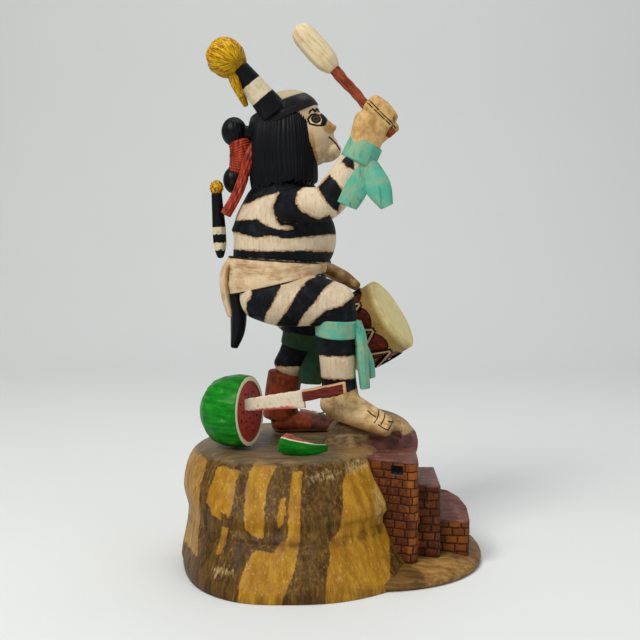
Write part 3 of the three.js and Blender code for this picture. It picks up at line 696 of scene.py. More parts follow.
def body_marks(points):
    """Where the body is black and where it is bare tan, as signed distances in millimetres.

    Each part of the body has its own outlines. A part only counts as far as it is the nearest one, so
    the value is the greatest over the parts of the lesser of its own depth and half of its lead."""
    x, z = points[:, 0], points[:, 2] - MESA_TOP
    ankle = 27.4 + (x + 4) * 0.295
    parts = {}
    depth, _, _ = outside(points, ["trunk"])
    black = np.max([outline_depth(x, z, shape) for shape in (CHEST, BELLY, NAPE)], axis=0)
    parts["trunk"] = depth, black, np.full(len(x), -6.0)
    depth, _, _ = outside(points, ["near_arm"])
    black = np.max([outline_depth(x, z, shape) for shape in (ELBOW, WRIST, SHOULDER)], axis=0)
    parts["arm"] = depth, black, np.full(len(x), -6.0)
    depth, which, _ = outside(points, ["near_thigh", "near_shin", "near_foot"])
    fan = np.max([outline_depth(x, z, shape) for shape in (HIP, THIGH, KNEE)], axis=0)
    shin = np.maximum(z - 53.2, np.minimum(39.4 - z, z - ankle))
    parts["leg"] = depth, np.where((which == 0) & (z > 66), fan, shin), np.where(which > 0, ankle - z, -6.0)
    depth, which, way = outside(points, ["far_thigh", "far_shin"])
    black = np.where(which == 0, banded(way, [(-9, 4), (17, 60)]), z - 42.4)
    parts["far_leg"] = depth, black, np.full(len(x), -6.0)
    depth, _, way = outside(points, ["far_arm"])
    parts["far_arm"] = depth, banded(way, [(12, 22), (40, 47), (60, 90)]), np.full(len(x), -6.0)
    depth, _, _ = outside(points, ["palm", "fingers", "thumb", "far_hand"])
    parts["hands"] = depth, np.full(len(x), -6.0), np.full(len(x), 6.0)
    depths = np.stack([value[0] for value in parts.values()])
    black, tan = [], []
    for i, value in enumerate(parts.values()):
        lead = (np.delete(depths, i, axis=0).min(axis=0) - value[0]) / 2
        black.append(np.minimum(value[1], lead))
        tan.append(np.minimum(value[2], lead))
    return {"black": np.max(black, axis=0), "tan": np.max(tan, axis=0)}


def body_form(grid):
    forms = [limb(raised(LIMBS[name]), 48, 8, **SHAPES.get(name, {})) for name in LIMBS]
    form = remeshed(forms, grid)
    x, y, z = form.points.T
    foot = (y < -2) & (z < MESA_TOP + 30) & (x > -12)
    form.points[:, 2] = np.where(foot, np.maximum(z, sole_height(x)), z)
    form.marks = body_marks(form.points)
    return form


def body_finish(paint):
    finish = Finish("striped_body")
    x, y, z = finish.axes()
    z = z - MESA_TOP
    wander = (finish.noise(2.6, 3, 0.6) - 0.5) * 2 + (finish.noise(0.7, 2) - 0.5) * 0.9
    edge = finish.mark("black") + wander
    black = edge.between(-0.1, 0.15)
    tan = (finish.mark("tan") + wander).between(-0.2, 0.2)
    patches = finish.noise(4.5, 4, 0.65)
    stain = (1 - abs(edge + 0.5) / 1.1).most(0) * patches.between(0.42, 0.56)
    old = finish.noise(17, 3).between(0.45, 0.7) * 0.55
    fibre = finish.noise(1.2, 4, 0.7, (1, 1, 14))
    cream = finish.mix(old, tuple(paint.cream), tone(178, 148, 114))
    cream = finish.mix(patches.between(0.55, 0.7) * 0.5, cream, tone(224, 206, 176))
    cream = finish.mix(fibre.between(0.5, 0.68) * 0.45, cream, tone(146, 120, 88))
    cream = finish.mix(stain * 0.75, cream, tuple(paint.ochre))
    cream = finish.mix(edge.between(-0.55, -0.25) * patches.between(0.6, 0.45) * 0.8, cream, tone(62, 38, 18))
    shoe = finish.mix((z + (patches - 0.5) * 9).between(34, 22), tuple(paint.tan), tone(206, 176, 128))
    skin_tone = finish.mix(patches.between(0.4, 0.66) * 0.75, shoe, tone(150, 108, 58))
    skin_tone = finish.mix(patches.between(0.42, 0.3) * 0.5, skin_tone, tone(226, 202, 162))
    # Painted shade: the bare foot is painted darker brown along its sole, where it faces down.
    sole = (z - SOLE[1] - (x - SOLE[0]) * SOLE[2] + (patches - 0.5) * 5).between(7, 1) * z.between(36, 30)
    skin_tone = finish.mix(sole * 0.55, skin_tone, tone(138, 92, 40))
    # Painted shade: the far hand, on the side away from the light, is painted darker brown.
    far_side_shade = (y - 8).between(0, 8) * (0.45 + patches.between(0.4, 0.6) * 0.4)
    skin_tone = finish.mix(far_side_shade, skin_tone, tone(116, 78, 40))
    colour = finish.mix(tan, cream, skin_tone)
    dark = finish.mix(finish.noise(5, 4, 0.65).between(0.48, 0.7) * 0.5, tuple(paint.black), tone(34, 42, 50))
    colour = finish.mix(black, colour, dark)
    drawn = finish.lines(x, z, FIST_LINES).between(0.42, 0.2).most(finish.lines(x, z, FOOT_LINES).between(0.45, 0.2))
    drawn = drawn * (0 - y).between(2, 4) * finish.noise(2.2, 2).between(0.2, 0.45)
    colour = finish.mix(drawn, colour, tone(34, 20, 10))
    return carved(finish, colour, 0.56, 0.15, 0.35, 0.3, extra=black * 0.08 - drawn * 0.3)


class KACHINA_OT_body(bpy.types.Operator):
    """Body with its arms, hands and legs, striped black and cream"""

    bl_idname = "kachina.body"
    bl_label = "Body"

    def execute(self, context):
        sizes, paint = context.scene.kachina_sizes, context.scene.kachina_colours
        put("striped_body", body_form(sizes.body_grid / MM), body_finish(paint), *FIGURE)
        return {"FINISHED"}


# ---------------------------------------------------------------- head and hair

EYE = [
    (-6, 192.9), (-8.6, 193.4), (-10.9, 192.6), (-12.7, 190), (-11.6, 187.4), (-8, 186.6), (-4.6, 186.6),
    (-3.6, 189.2), (-4.6, 191.6),
]
BROW = [(-12, 193.6), (-11.2, 195.2), (-9.8, 196.2), (-8.6, 195), (-7.6, 196.8), (-6.4, 195.4)]
BRIDGE = [(-4.3, 193), (-2.7, 190.4), (-3.9, 187.6)]
MOUTH = [(-0.2, 180.1), (1.4, 179), (2.9, 177.6), (4.6, 175.6), (5.9, 173.4)]


def head_form(grid):
    forms = [
        ball(raised([-24.4, 0, 191]), [19.2, 16.5, 17.3], 25, 64),
        ball(raised([-13.5, 0, 181]), [16, 14.5, 17.5], 25, 64),
        ball(raised([-9.5, 0, 175]), [12, 12.5, 11], 20, 48),
        ball(raised([-0.8, 0, 172]), [8, 8, 5.8], 20, 48),
        ball(raised([0.4, 0, 176.8]), [4.6, 6, 4.4], 10, 32),
        limb(raised([[-5, 0, 192, 2, 2.2], [-1, 0, 188, 2.4, 2.4], [1.6, 0, 185.6, 3.1, 3]]), 24),
    ]
    return remeshed(forms, grid, 4)


def head_finish():
    finish = Finish("face_paint")
    x, _, z = finish.axes()
    z = z - MESA_TOP
    wander = (finish.noise(1.6, 2) - 0.5) * 0.5
    outline = finish.line(x, z, EYE) + wander
    middle = ((x + 8) * (x + 8) * 0.8 + (z - 190.4) * (z - 190.4)).root() + wander
    white = ((x + 8.2) * (x + 8.2) * 0.62 + (z - 189.6) * (z - 189.6)).root().between(3.2, 2.6)
    ring = abs(middle - 2.1).between(0.7, 0.4)
    marks = outline.between(0.72, 0.42).most(ring).most(middle.between(1.2, 0.8))
    marks = marks.most((finish.line(x, z, BROW) + wander * 2).between(0.75, 0.4))
    marks = marks.most((finish.line(x, z, BRIDGE) + wander * 2).between(1.7, 1.3))
    lips = (finish.line(x, z, MOUTH) + wander).between(0.6, 0.35)
    patches = finish.noise(4, 4, 0.65)
    nose = ((x + 0.2) * (x + 0.2) + (z - 186.2) * (z - 186.2)).root().between(5, 3.2)
    temple = (x + 9.2 + (z - 175) * 0.2).between(1.6, 0.2) * z.between(164, 169) * z.between(186, 179)
    lid = ((x + 7.4) * (x + 7.4) + (z - 194.6) * (z - 194.6)).root().between(3, 1)
    stain = (nose * 0.8).most(temple * 0.75).most(lid * 0.6) * patches.between(0.25, 0.55)
    jaw = z.between(177, 169) * patches.between(0.3, 0.7) * 0.75
    colour = finish.mix(finish.noise(9, 3).between(0.45, 0.7) * 0.5, tone(206, 184, 148), tone(180, 150, 112))
    colour = finish.mix(jaw, colour, tone(150, 108, 78))
    colour = finish.mix(stain, colour, tone(158, 112, 36))
    colour = finish.mix((z - 198).between(0, 2), colour, tone(166, 152, 120))
    colour = finish.mix(white * 0.9, colour, tone(204, 188, 150))
    colour = finish.mix(middle.between(2.0, 1.7), colour, tone(74, 50, 26))
    colour = finish.mix(marks, colour, tone(16, 12, 11))
    colour = finish.mix(lips, colour, tone(16, 10, 9))
    return carved(finish, colour, 0.55, 0.1, 0.2, 0.15, extra=(marks + lips * 2) * -0.12)


def strand_relief(count, depth, seed=3, ends=None):
    """Grooves between strands: a row of rounded ridges, the cosine of half a turn across each one.
    Below its own ragged end a strand is gone."""
    random = np.random.default_rng(seed)
    tips = random.uniform(0, 1, count)
    rise = random.uniform(-0.2, 0.2, count)

    def relief(turn, way):
        swing = turn + 0.012 * np.sin(3 * turn + way * 0.15)
        number = (swing / (2 * np.pi) * count) % count
        strand = number.astype(int) % count
        ridge = np.cos((number % 1 - 0.5) * np.pi) ** 0.6
        height = depth * (ridge - 1) + rise[strand]
        if ends is not None:
            end = ends[0] + (ends[1] - ends[0]) * tips[strand]
            gone = eased(end - way, 0, 1.2)
            height = height * (1 - gone) - gone * ends[2]
        return height

    return relief


def hair_finish(name, base, light, rough=0.42, gloss=0.25, grain=(1, 1, 8), bare=None):
    """Black paint with paler high spots, which are painted highlights as well as wear, a dull shine, and cream where
    bare gives 1.
    """
    finish = Finish(name)
    # Painted highlights: paler streaks on the black paint, which also stand for worn paint.
    pale_marks = finish.noise(1.2, 3, 0.7, grain).between(0.62, 0.78) * finish.noise(9, 2).between(0.42, 0.62)
    colour = finish.mix(pale_marks * 0.4, base, light)
    if bare is not None:
        cream = finish.mix(finish.noise(3, 3).between(0.4, 0.65), tone(196, 180, 142), tone(150, 126, 86))
        colour = finish.mix(bare(*finish.axes()), colour, cream)
    return carved(finish, colour, rough, 0.3, 0.1, 0.2, grain, coat=gloss)


PATCH = (-40.7, 263.6)  # a point on the edge of the pale patch of the skull, along and up


class KACHINA_OT_head(bpy.types.Operator):
    """Head, its grooved hair and its headband"""

    bl_idname = "kachina.head"
    bl_label = "Head and hair"

    def execute(self, context):
        sizes, paint = context.scene.kachina_sizes, context.scene.kachina_colours
        put("head", head_form(sizes.head_grid / MM), head_finish(), *FIGURE)
        count = int(round(2 * np.pi * 20 / (sizes.strand_width / MM)))
        relief = strand_relief(count, sizes.groove / MM, ends=(3.5, 8, 1.5))
        stations = raised([
            [-26, 0, 147, 18, 16.5], [-27, 0, 154, 21, 20], [-27.2, 0, 168, 20.6, 20],
            [-27.2, 0, 182, 19.6, 18.9], [-27.6, 0, 193, 17.5, 16.7],
        ])
        skull = lambda x, y, z: (z - PATCH[1] - (x - PATCH[0]) * 0.8).between(-0.3, 0.4) * (x + 36).between(1, -1)
        black = hair_finish("hair_paint", tuple(paint.black), tone(92, 92, 96), bare=skull)
        put("hair", limb(stations, count * 6, 22, 0.3, 2.6, relief=relief), black, *FIGURE)

        def wavy(turn, way):
            fold = 0.25 * np.sin(3 * turn + 1) + 0.15 * np.sin(7 * turn + way * 0.6)
            return fold - 0.5 * np.exp(-(((way - 3.6) / 0.5) ** 2)) * (np.sin(turn * 2 + 1) > 0)

        band = limb(raised([
            [-27, 0, 191, 18.5, 21.9], [-28.8, 0, 195, 18.3, 21.2], [-30.6, 0, 199, 17.3, 18.2],
        ]), 160, 10, 0.1, relief=wavy)
        strap = hair_finish("headband_leather", tuple(paint.leather), tone(150, 150, 150), 0.4, 0.3, (1, 1, 1))
        put("headband", band, strap, *FIGURE)
        return {"FINISHED"}


class KACHINA_OT_bun(bpy.types.Operator):
    """Hair bun with its red cords and their hanging ends"""

    bl_idname = "kachina.bun"
    bl_label = "Bun and cords"

    def execute(self, context):
        sizes, paint = context.scene.kachina_sizes, context.scene.kachina_colours
        black = hair_finish("bun_paint", tuple(paint.black), tone(84, 88, 92), 0.4, 0.2)

        def locks(turn, latitude):
            return 0.3 * np.abs(np.sin(turn * 9 + np.sin(latitude * 3))) - 0.3

        put("bun_neck", limb(raised([[-40, 0, 181.6, 4, 4], [-51, 0, 183.6, 4.4, 4.4]]), 32), black, *FIGURE)
        put("bun_top", ball(raised([-56.6, 0, 184]), [7.6, 8, 8.7], 0, 90, locks), black, *FIGURE)
        put("bun_foot", ball(raised([-56.6, 0, 155.6]), [6.8, 7.4, 8.2], 0, 90, locks), black, *FIGURE)
        cord = sizes.cord_width / MM

        def wound(turn, way):
            return -0.45 * np.abs(np.cos(np.pi * (way + 0.5 * np.sin(turn + 1)) / cord)) ** 3

        def hanging(turn, way):
            strands = -0.4 * np.abs(np.cos(turn * 4.5 + 0.1 * way)) ** 4
            tie = -0.5 * np.exp(-(((way - 17) / 0.5) ** 2)) - 0.5 * np.exp(-(((way - 20) / 0.5) ** 2))
            return strands + tie

        red = yarn_finish("yarn_paint", tuple(paint.yarn))
        stations = raised([[-53.6, 0, 178, 7.2, 6.5], [-51.6, 0, 169.5, 8.6, 8], [-54, 0, 160, 7.2, 6.5]])
        wrap = limb(stations, 96, 40, 0.3, relief=wound)
        put("yarn_wrap", wrap, red, *FIGURE)
        tail = limb(raised([
            [-43.5, -6.5, 176, 2, 3.2], [-47, -9, 168, 2.2, 3.4], [-53, -10, 150, 2, 3.2], [-61, -11.6, 135, 2, 3.3],
        ]), 90, 24, 0.2, relief=hanging)
        put("yarn_tail", tail, red, *FIGURE)
        return {"FINISHED"}


def yarn_finish(name, colour):
    """Red paint over cords: dark red in lengthwise streaks, pale orange streaks that are painted highlights, and dark
    blotches.
    """
    finish = Finish(name)
    streak = finish.noise(1.4, 3, 0.6, (1, 1, 7))
    tint = finish.mix(streak.between(0.35, 0.6), tone(96, 18, 12), colour)
    # Painted highlights: pale orange streaks on the cords.
    tint = finish.mix(streak.between(0.58, 0.75) * 0.5, tint, tone(206, 116, 70))
    tint = finish.mix(finish.noise(7, 2).between(0.6, 0.75) * 0.3, tint, tone(60, 16, 12))
    return carved(finish, tint, 0.45, 0.15, 0.1, 0.12, coat=0.15)


# ---------------------------------------------------------------- sash, flaps, ribbons and boot


def sash_form():
    """A band of cloth round the waist. Its outer wall runs from the lower edge up to the upper one and
    the inner wall back down. Each edge is a tilted ellipse: height = middle + slope * distance forward.
    Folds are sines that follow the edges."""
    turn = np.linspace(0, 2 * np.pi, 220, endpoint=False)[None, :]
    share = np.linspace(0, 1, 44)[:, None]
    forward = np.cos(turn)
    side = np.sin(turn)
    low = 93.8 + 6.6 * forward
    high = 108.6 - 1.9 * forward
    fold = 0.3 * np.sin(share * 11 + 1.6 * forward + 0.6 * np.sin(2 * turn)) + 0.14 * np.sin(share * 23 - 2 * forward)
    bulge = 0.8 * np.sin(np.pi * share) + fold * eased(np.minimum(share, 1 - share), 0, 0.12) * (0.8 - 0.5 * forward)
    reach = np.array([27.6, 26.2])
    walls = []
    for inner, rows in ((0, share), (1, share[::-1])):
        height = low + (high - low) * rows
        out = 1.4 + bulge if not inner else np.full_like(bulge, -2.5)
        x = -31.4 + (reach[0] + out) * forward
        y = (reach[1] + out) * side
        walls.append(np.stack([x, y, height + MESA_TOP], -1))
    rim = np.concatenate([np.minimum(share, 1 - share) * (high - low), share * 0 + 0 * turn])
    return hoop(np.concatenate(walls), {"rim": rim})


def cloth_finish(name, light, second, dark, fold=3.0, stretch=(5, 5, 1), rough=0.6, rim=False):
    """Painted wooden cloth: two tones in soft patches, painted shade along the folds with painted highlights
    between them, and, where asked, a dark line along the lower edge."""
    finish = Finish(name)
    patches = finish.noise(9, 3, 0.6)
    lines = finish.noise(fold, 3, 0.6, stretch, 0.4)
    colour = finish.mix(patches.between(0.4, 0.65), light, second)
    # Painted shade along the fold lines, and painted highlights between them: the cloth's tone made lighter.
    colour = finish.mix(lines.between(0.55, 0.72) * 0.6, colour, dark)
    colour = finish.mix(lines.between(0.45, 0.34) * 0.35, colour, finish.shaded(light, 1.18))
    if rim:
        edge = finish.mark("rim") + (finish.noise(2, 2) - 0.5) * 0.5
        colour = finish.mix(edge.between(1.1, 0.6), colour, tone(30, 18, 12))
    return carved(finish, colour, rough, 0.16, 0.3, 0.2, extra=lines * 0.3)


def folded(depth, count, lines=()):
    """Folds along a strip of cloth: a cosine across it, and a groove where it is tied."""

    def relief(turn, way):
        height = depth * np.cos(count * turn + 0.05 * way) + 0.4 * depth * np.sin(2.3 * count * turn)
        for line in lines:
            height = height - 0.7 * np.exp(-(((way - line) / 0.55) ** 2))
        return height

    return relief


RIBBONS = {
    "wrist_ribbon": ([[14.9, -42, 163.6, 9.4, 10], [19.9, -42, 173.8, 9.2, 9.8]], 0.15, folded(0.3, 3)),
    "wrist_tail_back": (
        [[16.4, -46, 163, 3, 5.4], [13.4, -47.5, 150, 3, 7.8], [9, -47.5, 139.5, 2.5, 6]], 0.1, folded(0.25, 2),
    ),
    "wrist_tail_front": (
        [[19.4, -46, 163.5, 3, 5.6], [26, -47.7, 150, 3, 7.4], [31.2, -47.7, 139, 2.4, 3.8]],
        0.12, folded(0.25, 2),
    ),
    "knee_ribbon": ([[4.4, -15.8, 73.4, 13.3, 12.8], [3.9, -15.2, 64.2, 12.9, 12.3]], 0.15, folded(0.25, 4)),
    "knee_tail": (
        [[15, -17, 72, 4, 3.6], [18, -18, 62, 4.5, 3.8], [19.6, -18.5, 45, 4.6, 3.4], [20.6, -18.5, 33.5, 4, 3]],
        0.2, folded(0.25, 3, (14,)),
    ),
    "knee_tail_small": ([[17, -14, 64, 3, 2.4], [23, -13, 50, 3.6, 2.8], [25, -13, 39, 3, 2.2]], 0.2, folded(0.2, 2)),
}
FAR_RIBBONS = {
    "far_wrist_ribbon": ([[-7, 30, 103, 7, 6.6], [-2, 27, 102, 6.6, 6]], 0.15, folded(0.25, 3)),
    "far_knee_ribbon": ([[-17, 18.4, 63, 12.1, 11.4], [-19, 19, 54.6, 12, 11]], 0.15, folded(0.25, 4)),
    "far_knee_tail": (
        [[-8, 15, 60, 2.6, 3], [-10.5, 13.4, 48, 2.8, 6], [-11.6, 13.4, 37, 2.8, 7.6], [-12, 13.4, 31.5, 2.4, 6.8]],
        0.2, folded(0.3, 3),
    ),
}


class KACHINA_OT_cloth(bpy.types.Operator):
    """Sash, flaps and ribbons, all carved and painted"""

    bl_idname = "kachina.cloth"
    bl_label = "Sash and ribbons"

    def execute(self, context):
        paint = context.scene.kachina_colours
        shades = tone(206, 182, 146), tone(184, 150, 110), tone(116, 72, 36)
        put("sash", sash_form(), cloth_finish("sash_paint", *shades, 2.2, rim=True), *FIGURE)
        cream = cloth_finish("flap_paint", *shades, 2.2, (1, 1, 5))
        stations = raised([
            [-58.5, -2, 108, 9, 3], [-62.5, -2, 99, 9.5, 3.2], [-61.2, -2, 86, 9, 3.4], [-58.4, -2, 75, 8, 2.6],
        ])
        flap = limb(stations, 60, 14, 0.3, relief=folded(0.3, 2))
        put("back_flap", flap, cream, *FIGURE)
        black = hair_finish("tail_paint", tuple(paint.black), tone(80, 84, 88))
        stations = raised([
            [-55.5, -6, 88, 7, 4], [-54.4, -6, 78, 7, 4.8], [-55, -6, 66, 6, 4.3], [-57, -6, 57, 4, 2.4],
        ])
        tail = limb(stations, 60, 14, 0.6, relief=folded(0.3, 3))
        put("back_tail", tail, black, *FIGURE)
        shades = tuple(paint.turquoise), tuple(paint.moss), tone(30, 84, 70)
        bright = cloth_finish("ribbon_paint", *shades, 2.4, (1, 1, 5))
        # Painted shade: the ribbons on the far side are the turquoise ones, painted deep green as they look in shade.
        shades = tuple(paint.shaded_turquoise), tone(52, 66, 36), tone(12, 28, 24)
        deep = cloth_finish("shaded_ribbon_paint", *shades, 2.4, (1, 1, 5))
        for names, finish in ((RIBBONS, bright), (FAR_RIBBONS, deep)):
            for name, (stations, dome, relief) in names.items():
                form = limb(raised(stations), 72, 16, dome, relief=relief)
                put(name, form, finish, *FIGURE)
        return {"FINISHED"}


class KACHINA_OT_boot(bpy.types.Operator):
    """Boot on the left foot"""

    bl_idname = "kachina.boot"
    bl_label = "Boot"

    def execute(self, context):
        paint = context.scene.kachina_colours
        stations = raised([[-27.4, 22, 36.5, 10.8, 10.8], [-29.4, 22.6, 24, 10.8, 10.8], [-30.8, 23, 9, 10.8, 10.6]])
        shaft = limb(stations, 48, 12, 0.2)
        foot = limb(raised([[-31, 23, 6, 10.6, 7], [-14, 24, 5.4, 10.6, 6.2], [1, 25, 4.4, 9.4, 5]]), 48, 12, 0.8)
        form = remeshed([shaft, foot], 0.8)
        form.points[:, 2] = np.maximum(form.points[:, 2], MESA_TOP + 0.3)
        finish = Finish("boot_paint")
        z = finish.axes()[2] - MESA_TOP
        patches = finish.noise(6, 4, 0.65)
        x = finish.axes()[0]
        grain = finish.noise(1.2, 4, 0.7, (1, 1, 7))
        colour = finish.mix(patches.between(0.4, 0.65), tuple(paint.boot), tone(96, 36, 18))
        colour = finish.mix(grain.between(0.5, 0.68) * 0.5, colour, tone(70, 26, 12))
        # Painted shadow: the toe, under the near foot's heel, is painted darker purple-brown.
        toe_shadow = finish.mix(patches.between(0.4, 0.6), tone(66, 34, 28), tone(100, 60, 50))
        colour = finish.mix((x + (patches - 0.5) * 5).between(-13, -10) * z.between(16, 14), colour, toe_shadow)
        # The sole is cream with dark cracks; its lowest millimetre is a painted shadow line where it meets the mesa.
        crack = finish.noise(2.4, 3, 0.7, (5, 1, 1)).between(0.56, 0.6)
        tread_and_shadow_line = finish.mix(crack.most(z.between(1, 0.7)) * 0.9, tone(150, 122, 84), tone(28, 18, 12))
        colour = finish.mix((z + patches * 0.8).between(3.3, 3.0), colour, tread_and_shadow_line)
        material = carved(finish, colour, 0.5, 0.25, 0.2, 0.25)
        put("boot", form, material, *FIGURE)
        return {"FINISHED"}


# ---------------------------------------------------------------- drum and beater

DRUM_CENTRE = np.array([40, 21, 144.6])
DRUM_AXIS = unit(np.array([-0.811, 0.248, -0.53]))
DRUM_RADIUS, DRUM_LENGTH = 23.6, 36.0


def scallop(turn, count):
    """How far the hide reaches down the drum's side: far at each lacing point, and back along the arc of
    a circle between two points, 1 - sqrt(1 - u^2) for u from -1 to 1."""
    share = ((turn * count / (2 * np.pi)) % 1 - 0.5) * 2
    return 8.5 + 8.5 * (1 - np.sqrt(np.clip(1 - share**2, 0, 1)))


def hide_form(start, direction, count, thickness):
    """A drum skin: out over the face, round the rim, down the side to its scalloped edge, and back
    inside by its own thickness. Each ring is a circle whose distance along the axis changes with it."""
    turn = np.linspace(0, 2 * np.pi, 360, endpoint=False)[None, :]
    reach = scallop(turn, count)
    corner = np.linspace(0, np.pi / 2, 9)[1:, None]
    face = np.linspace(0, 1, 14)[1:, None] * (DRUM_RADIUS - 2.4)
    side = np.linspace(0, 1, 16)[1:, None]
    radius = [face + 0 * turn, DRUM_RADIUS - 2.4 + 2.4 * np.sin(corner) + 0 * turn, DRUM_RADIUS + 0 * side + 0 * turn]
    way = [0 * face + 0 * turn, 1.6 * (1 - np.cos(corner)) + 0 * turn, 1.6 + side * (reach - 1.6)]
    radius, way = np.concatenate(radius), np.concatenate(way)
    inner = slice(None, None, -1)
    radius = np.concatenate([radius, np.maximum(radius[inner] - thickness, 0.3)])
    edge = np.concatenate([reach - way, 0 * way[inner]])
    way = np.concatenate([way, np.maximum(way[inner], thickness)])
    axis, first, second = frame_of(direction)
    spoke = np.cos(turn)[..., None] * first + np.sin(turn)[..., None] * second
    rings = start + axis * way[..., None] + spoke * radius[..., None]
    marks = {"way": way, "edge": edge, "spread": radius}
    return skin(rings, start, start + axis * thickness, marks)


def lace_forms(count):
    """Laces between the two skins: flat strips that lie on the drum and run to and fro, their turn and
    distance going evenly from one hole to the next. Across a strip is a squared ellipse."""
    axis, first, second = frame_of(DRUM_AXIS)
    share = np.linspace(0, 1, 40)[:, None]
    round_ = np.linspace(0, 2 * np.pi, 16, endpoint=False)[None, :]
    across, over = 1.45 * squared(np.cos(round_), 3), 0.55 * squared(np.sin(round_), 3)
    forms = []
    for i in range(2 * count):
        turn_a, turn_b = (2 * np.pi / count) * (i / 2), (2 * np.pi / count) * (i / 2 + 0.5)
        way_a, way_b = (10.0, DRUM_LENGTH - 10) if i % 2 == 0 else (DRUM_LENGTH - 10, 10.0)
        slant = np.arctan2((turn_b - turn_a) * DRUM_RADIUS, way_b - way_a)
        turn = turn_a + (turn_b - turn_a) * share + across * np.cos(slant) / DRUM_RADIUS
        way = way_a + (way_b - way_a) * share - across * np.sin(slant)
        radius = DRUM_RADIUS + 0.25 + over + 0 * share
        spoke = np.cos(turn)[..., None] * first + np.sin(turn)[..., None] * second
        rings = DRUM_CENTRE + axis * way[..., None] + spoke * radius[..., None]
        reach = np.maximum(np.abs(across / 1.45) * 1.45, 1.45 - np.minimum(share, 1 - share) * 24)
        forms.append(skin(rings, rings[0].mean(axis=0), rings[-1].mean(axis=0), {"across": reach + 0 * across}))
    return forms


class KACHINA_OT_drum(bpy.types.Operator):
    """Drum: wooden shell, two laced skins and their laces"""

    bl_idname = "kachina.drum"
    bl_label = "Drum"

    def execute(self, context):
        sizes, paint = context.scene.kachina_sizes, context.scene.kachina_colours
        wall = DRUM_RADIUS - sizes.hide_thickness / MM - 0.15
        end = DRUM_LENGTH - 1
        profile = dense([(0, 1), (wall - 2, 1), (wall, 3), (wall, end - 2), (wall - 2, end), (0, end)], 1.0)
        finish = Finish("drum_wood")
        grain = finish.noise(1.6, 4, 0.6, (1, 6, 1), 0.3)
        colour = finish.mix(grain.between(0.4, 0.65), tuple(paint.drum_wood), tone(112, 44, 30))
        wood = carved(finish, colour, 0.4, 0.25, 0.2, 0.1)
        put("drum_shell", turned(profile, DRUM_CENTRE, DRUM_AXIS, 160), wood, "drum_skin", "drum")
        finish = Finish("drum_hide")
        way, edge, spread = finish.mark("way"), finish.mark("edge"), finish.mark("spread")
        patches = finish.noise(8, 4, 0.6)
        side = way.between(0.2, 5) * (0.65 + patches * 0.5)
        rim = spread.between(17.5, 23) * 0.45 * patches.between(0.25, 0.7)
        colour = finish.mix(patches.between(0.35, 0.7) * 0.5, tuple(paint.hide), tone(196, 178, 112))
        colour = finish.mix(rim.most(side), colour, tone(150, 114, 52))
        flecks = way.between(1, 6) * finish.noise(1.1, 3, 0.7).between(0.5, 0.7)
        colour = finish.mix(flecks * 0.6, colour, tone(96, 66, 26))
        colour = finish.mix(edge.between(0.9, 0.45) * way.between(1, 2), colour, tone(26, 12, 9))
        hide = carved(finish, colour, 0.5, 0.07, 0.25, 0.12, (1, 1, 1))
        thick = sizes.hide_thickness / MM
        put("drum_hide_front", hide_form(DRUM_CENTRE, DRUM_AXIS, sizes.scallops, thick), hide, "drum_skin", "drum")
        back = DRUM_CENTRE + DRUM_AXIS * DRUM_LENGTH
        put("drum_hide_back", hide_form(back, -DRUM_AXIS, sizes.scallops, thick), hide, "drum_skin", "drum")
        finish = Finish("lace_paint")
        across = finish.mark("across") + (finish.noise(1.2, 2) - 0.5) * 0.3
        colour = finish.mix(across.between(0.5, 0.72), tone(190, 164, 116), tone(20, 12, 10))
        laces = merged(lace_forms(sizes.scallops))
        put("drum_laces", laces, carved(finish, colour, 0.5, 0.1, 0.2, 0.1), "drum_skin", "drum")
        return {"FINISHED"}


BEATER_AXIS = unit(np.array([31.3, 0, -34.5]))
BEATER_END = np.array([24.2, -42, 259.8]) + 15.6 * BEATER_AXIS
SHAFT_RADIUS, SHAFT_LENGTH, BEATER_RADIUS, BEATER_LENGTH = 2.8, 49.1, 6.9, 31.0


